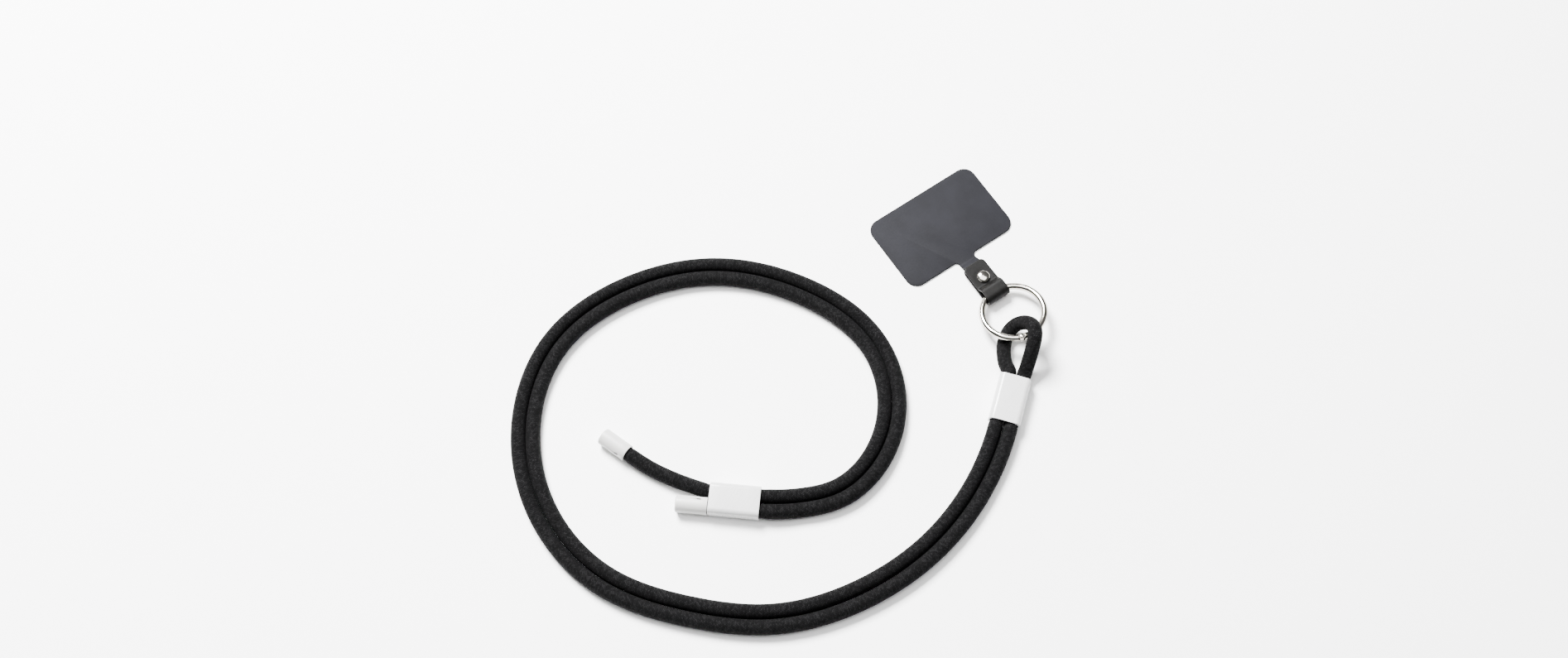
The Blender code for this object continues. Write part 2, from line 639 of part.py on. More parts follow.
def add_frame(name, matrix):
    """Empty that carries a group of pieces."""
    empty = add_object(name, None, None, None, matrix)
    empty.empty_display_size = RING_R
    return empty


def main():
    clear_scene()
    cord_black = material("cord_black", (0.012, 0.012, 0.013), 0.75)
    sleeve_white = material("sleeve_white", (0.80, 0.80, 0.79), 0.35)
    cap_white = material("cap_white", (0.78, 0.78, 0.76), 0.4)
    nickel = material("nickel", (0.72, 0.69, 0.65), 0.18, 1.0)
    leather_black = material("leather_black", (0.016, 0.015, 0.014), 0.5)
    patch_grey = material("patch_grey", (0.055, 0.055, 0.065), 0.8)

    to_bight = Vector((math.cos(TETHER_HEADING), math.sin(TETHER_HEADING), 0.0))
    flat = math.cos(RING_TILT) * RING_R
    eye = grid(*RING_CENTRE) - to_bight * flat
    tether = add_frame("tether_frame", heading_matrix(eye, TETHER_HEADING))
    centre = eye + to_bight * flat + Vector((0, 0, EYE_Z + math.sin(RING_TILT) * RING_R))
    ring = add_frame("ring_frame", heading_matrix(centre, TETHER_HEADING)
                     @ Matrix.Rotation(-RING_TILT, 4, "Y"))

    build_patch(patch_grey, tether)
    build_tab(leather_black, tether)
    build_rivet(nickel, tether)
    build_ring_body(nickel, ring)
    build_ring_gate(nickel, ring)
    build_ring_pin(nickel, ring)
    build_sleeve("ring_sleeve", sleeve_white, RING_SLEEVE_CENTRE, RING_SLEEVE_HEADING)
    build_sleeve("slider_sleeve", sleeve_white, SLIDER_CENTRE, SLIDER_HEADING)
    build_cap("end_cap_a", cap_white, Vector(cap_a_mouth()), SLIDER_HEADING, math.radians(35))
    build_cap("end_cap_b", cap_white, Vector(cap_b_mouth()), CAP_B_HEADING, math.radians(-66))
    build_cord(cord_black)


main()
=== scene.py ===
"""Looks of a phone crossbody strap lying on a pale surface.

Lengths are metres, and the frame is the CAD model's: +Z up, the strap rests on z = 0. Places on the
surface are read off a drawing grid in millimetres, as in the part's source.
"""

import logging
import math
from collections.abc import Callable, Iterable, Sequence
from dataclasses import dataclass, field
from enum import Enum

import bmesh
import bpy
import numpy as np
from mathutils import Matrix, Vector

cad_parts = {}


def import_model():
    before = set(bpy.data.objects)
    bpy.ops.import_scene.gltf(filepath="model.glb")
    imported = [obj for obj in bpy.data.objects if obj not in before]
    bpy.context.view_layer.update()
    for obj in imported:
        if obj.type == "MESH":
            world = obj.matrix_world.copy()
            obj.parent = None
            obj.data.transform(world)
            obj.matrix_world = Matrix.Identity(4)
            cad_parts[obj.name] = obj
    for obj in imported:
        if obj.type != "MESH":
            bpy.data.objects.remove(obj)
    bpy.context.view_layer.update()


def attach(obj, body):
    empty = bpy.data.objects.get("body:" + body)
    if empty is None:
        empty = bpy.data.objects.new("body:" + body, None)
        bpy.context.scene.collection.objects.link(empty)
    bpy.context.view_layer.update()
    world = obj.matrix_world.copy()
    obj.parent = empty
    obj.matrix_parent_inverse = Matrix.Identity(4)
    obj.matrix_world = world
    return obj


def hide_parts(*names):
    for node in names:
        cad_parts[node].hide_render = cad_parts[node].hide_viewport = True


LOG = logging.getLogger("strap")
MM = 0.001

Point = tuple[float, float]
Socket = bpy.types.NodeSocket
Number = float | Socket


class Body(str, Enum):
    """Moving bodies of the strap."""

    STRAP = "strap"
    GATE = "gate"


class Slot(str, Enum):
    """Material slot names."""

    CORD = "cord_black"
    SLEEVE = "sleeve_white"
    CAP = "cap_white"
    NICKEL = "nickel"
    LEATHER = "leather_black"
    PATCH = "patch_grey"


# Sizes that more than one piece uses
GAP = 0.3 * MM
LAYER_GAP = 0.2 * MM
CORD_D = 6.0 * MM
CORD_R = CORD_D / 2
STRAND_SPACING = CORD_D + 0.9 * MM
SLEEVE_LENGTH = 23.2 * MM
SLEEVE_R = CORD_R + GAP + 0.7 * MM
CAP_R = CORD_R + GAP + 0.7 * MM
CAP_BORE_DEPTH = 12.0 * MM
WIRE_D = 3.1 * MM
WIRE_R = WIRE_D / 2
RING_R = (32.2 * MM - WIRE_D) / 2
RING_TILT = math.radians(12.6)
LEATHER = 1.2 * MM
TAB_LENGTH = 17.5 * MM
RIVET_FROM_EYE = 8.9 * MM
RIVET_BACK = 0.5 * MM
PATCH_THICKNESS = 1.0 * MM
TAB_BOTTOM = RIVET_BACK + LAYER_GAP
NECK_BOTTOM = TAB_BOTTOM + LEATHER + LAYER_GAP
TOP_LAYER_BOTTOM = NECK_BOTTOM + PATCH_THICKNESS + LAYER_GAP

# Places on the drawing grid, in millimetres, and directions
GRID_ORIGIN = (19.3, -4.66)
RING_CENTRE = (108.0, 5.9)
TETHER_HEADING = math.radians(-56.0)
RING_SLEEVE_CENTRE = (104.5, -37.3)
RING_SLEEVE_HEADING = math.radians(73.6)
SLIDER_CENTRE = (-22.4, -85.4)
SLIDER_HEADING = math.radians(174.4)
CAP_B_MOUTH = (-71.5, -62.9)
CAP_B_HEADING = math.radians(144.0)


def grid(x: float, y: float, z: float = 0.0) -> Vector:
    """Turn a point of the drawing grid (mm) into a world position (m).

    Args:
        x: Grid X.
        y: Grid Y.
        z: Height.

    Returns:
        The world position.
    """
    return Vector(((x - GRID_ORIGIN[0]) * MM, (y - GRID_ORIGIN[1]) * MM, z * MM))


def flat_heading(heading: float) -> np.ndarray:
    """Unit vector along a heading on the floor."""
    return np.array((math.cos(heading), math.sin(heading), 0.0))


def placed(place: Sequence[float], heading: float) -> Matrix:
    """World placement with local X along a heading on the floor."""
    return Matrix.Translation(Vector(place)) @ Matrix.Rotation(heading, 4, "Z")


def arc_points(centre: Point, radius: float, start: float, end: float, steps: int) -> list[Point]:
    """Sample an arc.

    Args:
        centre: Centre of the arc.
        radius: Its radius.
        start: First angle.
        end: Last angle.
        steps: Number of equal steps.

    Returns:
        Points along the arc, both ends included.
    """
    angles = np.linspace(start, end, steps + 1)
    return [(centre[0] + radius * math.cos(a), centre[1] + radius * math.sin(a)) for a in angles]


# Meshes


def mesh_object(name: str, bm: bmesh.types.BMesh, matrix: Matrix | None = None,
                sharp: float = math.radians(38)) -> bpy.types.Object:
    """Make an object at the origin from a bmesh, placed in its own mesh data.

    Args:
        name: Object name.
        bm: The mesh, which is freed.
        matrix: World placement that goes into the vertices.
        sharp: Angle from which an edge stays sharp.

    Returns:
        The linked object.
    """
    if matrix is not None:
        bm.transform(matrix)
    bmesh.ops.remove_doubles(bm, verts=bm.verts, dist=1e-7)
    bmesh.ops.recalc_face_normals(bm, faces=bm.faces)
    mesh = bpy.data.meshes.new(name)
    bm.to_mesh(mesh)
    bm.free()
    mesh.shade_smooth()
    mesh.set_sharp_from_angle(angle=sharp)
    item = bpy.data.objects.new(name, mesh)
    bpy.context.scene.collection.objects.link(item)
    return item


def prism(outline: Sequence[Point], low: float, high: float) -> bmesh.types.BMesh:
    """Raise a closed XY outline between two heights.

    Args:
        outline: Corners in order.
        low: Height of the bottom.
        high: Height of the top.

    Returns:
        The closed solid.
    """
    bm = bmesh.new()
    face = bm.faces.new([bm.verts.new((x, y, low)) for x, y in outline])
    grown = bmesh.ops.extrude_face_region(bm, geom=[face])
    top = [item for item in grown["geom"] if isinstance(item, bmesh.types.BMVert)]
    bmesh.ops.translate(bm, verts=top, vec=(0.0, 0.0, high - low))
    return bm


def disc(radius: float, sides: int = 64) -> list[Point]:
    """Circle about the origin as a closed outline."""
    return [(radius * math.cos(a), radius * math.sin(a))
            for a in np.linspace(0, 2 * math.pi, sides, endpoint=False)]


def swept(section: Sequence[tuple[float, float, float]], spacing: float, steps: int,
          closed: bool) -> bmesh.types.BMesh:
    """Carry a section round an oblong about two axes parallel to X.

    Args:
        section: Points as (x, reach, corner): reach is how far the outline stands off the axes, and
            corner is its corner radius, equal to the reach where its ends are round.
        spacing: Distance between the two axes, zero for a round piece.
        steps: Steps in each quarter turn.
        closed: Whether the section joins up with itself.

    Returns:
        The closed surface.
    """
    bm = bmesh.new()
    loops = []
    for x, reach, corner in section:
        inset = reach - corner
        half = spacing / 2 + inset
        outline = []
        for y, z, start in ((half, -inset, -0.5), (half, inset, 0.0), (-half, inset, 0.5), (-half, -inset, 1.0)):
            outline += arc_points((y, z), corner, start * math.pi, (start + 0.5) * math.pi, steps)
        loops.append([bm.verts.new((x, y, z)) for y, z in outline])
    pairs = list(zip(loops, loops[1:]))
    if closed:
        pairs.append((loops[-1], loops[0]))
    for first, second in pairs:
        for i in range(len(first)):
            j = (i + 1) % len(first)
            bm.faces.new((first[i], first[j], second[j], second[i]))
    bmesh.ops.remove_doubles(bm, verts=bm.verts, dist=1e-7)
    return bm


def turned(section: Sequence[Point], steps: int) -> bmesh.types.BMesh:
    """Turn a section of (x, radius) about X, both of its ends being on the axis."""
    return swept([(x, radius, radius) for x, radius in section], 0.0, steps, False)


def combine(target: bpy.types.Object, bm: bmesh.types.BMesh, matrix: Matrix,
            operation: str = "DIFFERENCE") -> None:
    """Cut or join a solid into a piece for good.

    Args:
        target: The piece.
        bm: The other solid, which is freed.
        matrix: Its world placement.
        operation: DIFFERENCE or UNION.
    """
    tool = mesh_object("tool", bm, matrix)
    modifier = target.modifiers.new("combine", "BOOLEAN")
    modifier.operation = operation
    modifier.object = tool
    modifier.solver = "EXACT"
    shape = target.evaluated_get(bpy.context.evaluated_depsgraph_get())
    done = bpy.data.meshes.new_from_object(shape)
    target.modifiers.clear()
    target.data = done
    bpy.data.objects.remove(tool, do_unlink=True)


# Node graphs


class Graph:
    """A material's node graph with short calls for the nodes that the finishes share."""

    def __init__(self, name: str) -> None:
        """Start a material that holds one Principled shader.

        Args:
            name: Material name.
        """
        self.material = bpy.data.materials.new(name)
        self.material.use_nodes = True
        self.tree = self.material.node_tree
        self.shader = self.tree.nodes["Principled BSDF"]

    def constants(self, **values: float | tuple[float, ...]) -> None:
        """Set the shader's own sockets; an underscore in a name stands for a space."""
        for name, value in values.items():
            self.shader.inputs[name.replace("_", " ")].default_value = value

    def drive(self, name: str, source: Socket) -> None:
        """Feed one of the shader's sockets."""
        self.tree.links.new(source, self.shader.inputs[name])

    def put(self, socket: Socket, value: Number | Sequence[float]) -> None:
        """Link or set an input."""
        if isinstance(value, bpy.types.NodeSocket):
            self.tree.links.new(value, socket)
        else:
            socket.default_value = value

    def math(self, operation: str, *values: Number) -> Socket:
        """One Math node.

        Args:
            operation: Its operation.
            values: Its inputs in order.

        Returns:
            The result.
        """
        node = self.tree.nodes.new("ShaderNodeMath")
        node.operation = operation
        for socket, value in zip(node.inputs, values):
            self.put(socket, value)
        return node.outputs[0]

    def place(self, kind: str = "Object") -> Socket:
        """Coordinates fixed to the piece."""
        return self.tree.nodes.new("ShaderNodeTexCoord").outputs[kind]

    def stretched(self, vector: Socket, scale: Sequence[float], turn: float = 0.0) -> Socket:
        """Scale coordinates by axis after a turn about Z.

        Args:
            vector: Coordinates.
            scale: Factor for each axis.
            turn: Turn about Z.

        Returns:
            The new coordinates.
        """
        turned = self.tree.nodes.new("ShaderNodeMapping")
        turned.inputs["Rotation"].default_value = (0.0, 0.0, turn)
        self.put(turned.inputs["Vector"], vector)
        node = self.tree.nodes.new("ShaderNodeMapping")
        node.inputs["Scale"].default_value = tuple(scale)
        self.put(node.inputs["Vector"], turned.outputs[0])
        return node.outputs[0]

    def noise(self, vector: Socket, scale: float, detail: float = 2.0, roughness: float = 0.5) -> Socket:
        """Noise between zero and one.

        Args:
            vector: Coordinates.
            scale: Features per metre.
            detail: Octaves.
            roughness: Weight of the finer octaves.

        Returns:
            The noise value.
        """
        node = self.tree.nodes.new("ShaderNodeTexNoise")
        node.inputs["Scale"].default_value = scale
        node.inputs["Detail"].default_value = detail
        node.inputs["Roughness"].default_value = roughness
        self.put(node.inputs["Vector"], vector)
        return node.outputs[0]

    def pick(self, choice: Socket, first: Number, second: Number) -> Socket:
        """First value where the choice is zero, second where it is one."""
        return self.math("MULTIPLY_ADD", choice, self.math("SUBTRACT", second, first), first)

    def chance(self, first: Number, second: Number) -> Socket:
        """One random value for each pair of whole numbers."""
        pair = self.tree.nodes.new("ShaderNodeCombineXYZ")
        self.put(pair.inputs[0], first)
        self.put(pair.inputs[1], second)
        node = self.tree.nodes.new("ShaderNodeTexWhiteNoise")
        self.put(node.inputs["Vector"], pair.outputs[0])
        return node.outputs[0]

    def cells(self, vector: Socket, scale: float, feature: str = "F1") -> Socket:
        """Distance in a field of cells.

        Args:
            vector: Coordinates.
            scale: Cells per metre.
            feature: Which distance.

        Returns:
            The distance.
        """
        node = self.tree.nodes.new("ShaderNodeTexVoronoi")
        node.feature = feature
        node.inputs["Scale"].default_value = scale
        self.put(node.inputs["Vector"], vector)
        return node.outputs["Distance"]

    def span(self, value: Socket, low: float, high: float, to_low: float, to_high: float) -> Socket:
        """Map a range of values onto another, clamped.

        Args:
            value: The input.
            low: Input that gives to_low.
            high: Input that gives to_high.
            to_low: First result.
            to_high: Last result.

        Returns:
            The mapped value.
        """
        node = self.tree.nodes.new("ShaderNodeMapRange")
        for socket, number in zip(node.inputs, (value, low, high, to_low, to_high)):
            self.put(socket, number)
        return node.outputs[0]

    def blend(self, factor: Socket, first: Sequence[float] | Socket, second: Sequence[float] | Socket) -> Socket:
        """Mix two colours.

        Args:
            factor: Share of the second.
            first: First colour.
            second: Second colour.

        Returns:
            The mixed colour.
        """
        node = self.tree.nodes.new("ShaderNodeMix")
        node.data_type = "RGBA"
        self.put(node.inputs["Factor"], factor)
        for socket, colour in zip((node.inputs[6], node.inputs[7]), (first, second)):
            self.put(socket, colour if isinstance(colour, bpy.types.NodeSocket) else (*colour, 1.0))
        return node.outputs[2]

    def relief(self, height: Socket, distance: float, strength: float = 1.0,
               under: Socket | None = None) -> Socket:
        """Bump from a height.

        Args:
            height: Height from zero to one.
            distance: Depth in metres.
            strength: Share of the effect.
            under: Normal that this one is laid on.

        Returns:
            The normal.
        """
        node = self.tree.nodes.new("ShaderNodeBump")
        node.inputs["Strength"].default_value = strength
        node.inputs["Distance"].default_value = distance
        self.put(node.inputs["Height"], height)
        if under is not None:
            self.put(node.inputs["Normal"], under)
        return node.outputs[0]


# Finishes


@dataclass(frozen=True)
class BraidFinish:
    """Fine round braid of black yarn, each yarn over two and under two, in rows of small chevrons.

    The UV map counts yarn crossings round and along the cord.
    """

    name: str = "braid_black"
    # low is painted shade in the gaps between yarns, high is painted light on the yarn crowns
    low: tuple[float, float, float] = (0.0003, 0.0003, 0.00035)
    high: tuple[float, float, float] = (0.0078, 0.0076, 0.0080)
    fibres: float = 5.0

    def build(self) -> bpy.types.Material:
        """Make the material.

        Returns:
            The braid material.
        """
        graph = Graph(self.name)
        parts = graph.tree.nodes.new("ShaderNodeSeparateXYZ")
        graph.put(parts.inputs[0], graph.place("UV"))
        first = graph.math("ADD", parts.outputs[0], parts.outputs[1])
        second = graph.math("SUBTRACT", parts.outputs[0], parts.outputs[1])
        i, j = graph.math("FLOOR", first), graph.math("FLOOR", second)
        turn = graph.math("FLOORED_MODULO", graph.math("SUBTRACT", i, j), 4.0)
        over = graph.math("GREATER_THAN", turn, 1.5)
        across = graph.pick(over, graph.math("FRACT", first), graph.math("FRACT", second))
        along = graph.pick(over, graph.math("FRACT", second), graph.math("FRACT", first))
        half = graph.pick(over, graph.math("LESS_THAN", turn, 0.5), graph.math("GREATER_THAN", turn, 2.5))
        along = graph.math("MULTIPLY", graph.math("ADD", along, half), 0.5)
        ridge = graph.math("SINE", graph.math("MULTIPLY", across, math.pi))
        crown = graph.math("SINE", graph.math("MULTIPLY", along, math.pi))
        yarn = graph.math("MULTIPLY", graph.math("POWER", ridge, 0.6), graph.math("POWER", crown, 0.5))
        lines = graph.math("SINE", graph.math("MULTIPLY", across, 2 * math.pi * self.fibres))
        fuzz = graph.noise(graph.place(), 2600.0, 3.0, 0.65)
        height = graph.math("ADD", yarn, graph.math("MULTIPLY", lines, 0.06))
        height = graph.math("ADD", height, graph.math("MULTIPLY", fuzz, 0.3))
        graph.drive("Normal", graph.relief(height, 0.17 * MM, 0.9))
        worn = graph.noise(graph.place(), 60.0, 2.0)
        stitch = graph.chance(graph.pick(over, i, j), graph.math("FLOOR", graph.math("MULTIPLY", parts.outputs[1], 0.5)))
        # Painted shade and light: the colour follows each yarn's height, dark in the gaps and light on the crown, then
        # varies with random fuzz, worn patches and per-stitch tone
        shade = graph.math("MULTIPLY", graph.math("POWER", yarn, 1.5), graph.span(fuzz, 0.3, 0.7, 0.35, 1.0))
        shade = graph.math("MULTIPLY", shade, graph.span(worn, 0.3, 0.7, 0.8, 1.0))
        shade = graph.math("MULTIPLY", shade, graph.span(graph.math("POWER", stitch, 2.0), 0.0, 1.0, 0.45, 2.2))
        graph.drive("Base Color", graph.blend(shade, self.low, self.high))
        graph.drive("Roughness", graph.span(shade, 0.0, 1.0, 0.9, 0.55))
        graph.constants(Specular_IOR_Level=0.045, Sheen_Weight=0.003, Sheen_Roughness=0.5)
        return graph.material


@dataclass(frozen=True)
class PlasticFinish:
    """Moulded white plastic with faint flow, fine grain and handling marks."""

    name: str
    light: tuple[float, float, float]
    shade: tuple[float, float, float]
    gloss: tuple[float, float]
    coat: float
    grain: float

    def build(self) -> bpy.types.Material:
        """Make the material.

        Returns:
            The plastic material.
        """
        graph = Graph(self.name)
        place = graph.place()
        flow = graph.noise(place, 130.0, 3.0)
        graph.drive("Base Color", graph.blend(graph.span(flow, 0.3, 0.7, 0.0, 1.0), self.shade, self.light))
        marks = graph.noise(graph.stretched(place, (900.0, 70.0, 900.0), 0.6), 1.0, 4.0, 0.7)
        graph.drive("Roughness", graph.span(marks, 0.35, 0.75, *self.gloss))
        skin = graph.noise(place, 1500.0, 2.0)
        wave = graph.noise(place, 240.0, 1.0)
        under = graph.relief(wave, 0.08 * MM, 0.25)
        graph.drive("Normal", graph.relief(skin, self.grain * MM, 0.5, under))
        graph.constants(Specular_IOR_Level=0.5, Coat_Weight=self.coat, Coat_Roughness=0.12,
                        Subsurface_Weight=0.06, Subsurface_Radius=(0.002, 0.0018, 0.0015))
        return graph.material


@dataclass(frozen=True)
class NickelFinish:
    """Polished nickel with soft hairlines and slight smudges."""

    name: str = "nickel_polished"
    bright: tuple[float, float, float] = (0.66, 0.63, 0.575)
    dull: tuple[float, float, float] = (0.50, 0.475, 0.43)
    # edge is a dark tint of grazing reflections: painted dark reflection along the ring's outlines
    edge: tuple[float, float, float, float] = (0.16, 0.155, 0.145, 1.0)

    def build(self) -> bpy.types.Material:
        """Make the material.

        Returns:
            The nickel material.
        """
        graph = Graph(self.name)
        place = graph.place()
        smudge = graph.noise(place, 170.0, 3.0, 0.6)
        lines = graph.noise(graph.stretched(place, (2600.0, 160.0, 1400.0), 0.5), 1.0, 3.0, 0.6)
        graph.drive("Base Color", graph.blend(graph.span(smudge, 0.35, 0.7, 0.0, 1.0), self.bright, self.dull))
        graph.drive("Roughness", graph.span(graph.math("MULTIPLY", smudge, lines), 0.12, 0.4, 0.07, 0.2))
        graph.drive("Normal", graph.relief(lines, 0.004 * MM, 0.35))
        # The dark specular tint paints dark reflections into the ring's outlines
        graph.constants(Metallic=1.0, Specular_Tint=self.edge)
        return graph.material


@dataclass(frozen=True)
class LeatherFinish:
    """Smooth black leather with a pebbled grain and soft creases."""

    name: str = "leather_black"
    low: tuple[float, float, float] = (0.0006, 0.00055, 0.0005)
    high: tuple[float, float, float] = (0.0030, 0.0028, 0.0026)

    def build(self) -> bpy.types.Material:
        """Make the material.

        Returns:
            The leather material.
        """
        graph = Graph(self.name)
        place = graph.place()
        warp = graph.tree.nodes.new("ShaderNodeVectorMath")
        warp.operation = "MULTIPLY_ADD"
        wobble = graph.tree.nodes.new("ShaderNodeTexNoise")
        wobble.inputs["Scale"].default_value = 700.0
        graph.put(wobble.inputs["Vector"], place)
        graph.put(warp.inputs[0], wobble.outputs["Color"])
        graph.put(warp.inputs[1], (0.4 * MM,) * 3)
        graph.put(warp.inputs[2], place)
        pebble = graph.cells(warp.outputs[0], 2100.0, "DISTANCE_TO_EDGE")
        crease = graph.cells(warp.outputs[0], 480.0, "DISTANCE_TO_EDGE")
        pore = graph.noise(place, 3800.0, 2.0)
        grain = graph.span(pebble, 0.0, 0.16, 0.0, 1.0)
        fold = graph.span(crease, 0.0, 0.05, 0.0, 1.0)
        height = graph.math("ADD", graph.math("MULTIPLY", grain, 0.75), graph.math("MULTIPLY", fold, 0.25))
        height = graph.math("ADD", height, graph.math("MULTIPLY", pore, 0.25))
        graph.drive("Normal", graph.relief(height, 0.05 * MM, 0.42))
        tone = graph.noise(place, 210.0, 3.0, 0.6)
        # Painted shade: the colour follows the grain's height, darker in the pebble grooves and creases, on a random
        # tone
        share = graph.math("MULTIPLY", graph.span(tone, 0.3, 0.7, 0.3, 1.0), graph.span(height, 0.2, 1.1, 0.4, 1.0))
        graph.drive("Base Color", graph.blend(share, self.low, self.high))
        graph.drive("Roughness", graph.span(height, 0.1, 1.2, 0.62, 0.42))
        graph.constants(Specular_IOR_Level=0.085)
        return graph.material


@dataclass(frozen=True)
class PatchFinish:
    """Dark grey sheet with a fine pressed weave and a matte skin."""

    name: str = "patch_grey"
    low: tuple[float, float, float] = (0.0062, 0.0062, 0.0074)
    high: tuple[float, float, float] = (0.0090, 0.0090, 0.0110)
    pitch: float = 0.45 * MM

    def build(self) -> bpy.types.Material:
        """Make the material.

        Returns:
            The sheet material.
        """
        graph = Graph(self.name)
        place = graph.place()
        step = 2 * math.pi / self.pitch
        turned = graph.stretched(place, (step, step, step), -TETHER_HEADING)
        parts = graph.tree.nodes.new("ShaderNodeSeparateXYZ")
        graph.put(parts.inputs[0], turned)
        warp = graph.math("SINE", parts.outputs[0])
        weft = graph.math("SINE", parts.outputs[1])
        weave = graph.span(graph.math("MULTIPLY", warp, weft), -1.0, 1.0, 0.0, 1.0)
        skin = graph.noise(place, 1900.0, 3.0, 0.6)
        cloud = graph.noise(place, 90.0, 3.0, 0.55)
        height = graph.math("ADD", weave, graph.math("MULTIPLY", skin, 0.6))
        graph.drive("Normal", graph.relief(height, 0.05 * MM, 0.6))
        # Painted shade: the weave's dips are darker and its raised cells lighter, following its height, on a random
        # cloudy tone
        share = graph.math("ADD", graph.math("MULTIPLY", weave, 0.35), graph.span(cloud, 0.3, 0.7, 0.0, 0.65))
        graph.drive("Base Color", graph.blend(share, self.low, self.high))
        graph.drive("Roughness", graph.span(skin, 0.3, 0.7, 0.58, 0.74))
        graph.constants(Specular_IOR_Level=0.06)
        return graph.material


# Cord

# Middle line of the doubled cord from the ring sleeve to the slider: x, y, strand spacing (mm)
PAIR_ROUTE = (
    (91.5, -73.0, 6.6), (67.0, -105.8, 6.7), (34.0, -128.2, 7.0), (-3.7, -138.9, 7.2),
    (-42.5, -135.5, 7.2), (-80.4, -121.6, 7.0), (-108.9, -90.6, 6.6), (-118.9, -47.7, 6.5),
    (-106.9, -8.0, 6.5), (-74.8, 18.2, 6.6), (-33.9, 28.3, 6.8), (7.5, 19.1, 6.7),
    (41.1, -7.3, 6.5), (48.9, -48.5, 6.5), (24.5, -81.7, 6.8), (5.8, -86.2, 6.9),
)
# Bight through the ring, from the right strand at the sleeve round to the left one: x, y, z (mm)
BIGHT_ROUTE = (
    (113.3, -20.9, 6.4), (114.3, -17.6, 9.2), (115.2, -14.4, 12.4), (116.0, -11.0, 15.0),
    (116.3, -7.6, 16.0), (115.4, -4.2, 15.0), (113.1, -1.7, 12.3), (110.3, -0.6, 8.6),
    (107.7, -1.2, 5.4), (105.5, -3.4, 3.5), (104.1, -6.4, 3.0), (103.2, -10.4, 3.0),
    (103.1, -15.6, 3.1), (104.1, -20.6, 3.6),
)
# Free tail from the slider to the upper end cap: x, y, z (mm)
TAIL_ROUTE = (
    (-38.4, -79.4, 3.4), (-44.6, -77.2, 3.1), (-51.5, -74.4, 3.0), (-58.8, -70.9, 3.0),
    (-65.8, -66.8, 3.4),
)


def spline_through(points: Sequence[Sequence[float]]) -> tuple[np.ndarray, Callable[[np.ndarray], np.ndarray]]:
    """Fit a natural cubic spline by chord length.

    Args:
        points: Route points.

    Returns:
        The length at each point, and a function from lengths to positions.
    """
    knots = np.array([tuple(point) for point in points], dtype=float)
    spans = np.linalg.norm(np.diff(knots, axis=0), axis=1)
    at = np.concatenate(([0.0], np.cumsum(spans)))
    count = len(knots)
    system = np.eye(count)
    right = np.zeros((count, 3))
    for i in range(1, count - 1):
        system[i, i - 1:i + 2] = (spans[i - 1], 2 * (spans[i - 1] + spans[i]), spans[i])
        right[i] = 6 * ((knots[i + 1] - knots[i]) / spans[i] - (knots[i] - knots[i - 1]) / spans[i - 1])
    bend = np.linalg.solve(system, right)

    def curve(lengths: np.ndarray) -> np.ndarray:
        """Positions at the given lengths."""
        i = np.clip(np.searchsorted(at, lengths) - 1, 0, count - 2)
        span = spans[i][:, None]
        a = (at[i + 1] - lengths)[:, None] / span
        b = (lengths - at[i])[:, None] / span
        return (a * knots[i] + b * knots[i + 1]
                + ((a ** 3 - a) * bend[i] + (b ** 3 - b) * bend[i + 1]) * span ** 2 / 6)

    return at, curve


def sleeve_line(centre: Point, heading: float) -> list[np.ndarray]:
    """Five points on a sleeve's axis, from just before its back mouth to just past its front mouth."""
    middle = np.array(grid(*centre)) + np.array((0.0, 0.0, SLEEVE_R))
    half = SLEEVE_LENGTH / 2
    lead = half + 2.0 * MM
    return [middle + flat_heading(heading) * reach for reach in (-lead, -half, 0.0, half, lead)]


def cap_a_mouth() -> np.ndarray:
    """Mouth of the lower cap, against the slider, on the outer strand."""
    mouth = sleeve_line(SLIDER_CENTRE, SLIDER_HEADING)[3]
    along = flat_heading(SLIDER_HEADING)
    outward = np.array((-along[1], along[0], 0.0))
    place = mouth + along * GAP + outward * (STRAND_SPACING / 2 + 0.25 * MM)
    place[2] = CAP_R
    return place


def cap_b_mouth() -> np.ndarray:
    """Mouth of the upper cap at the end of the free tail."""
    return np.array(grid(*CAP_B_MOUTH)) + np.array((0.0, 0.0, CAP_R))


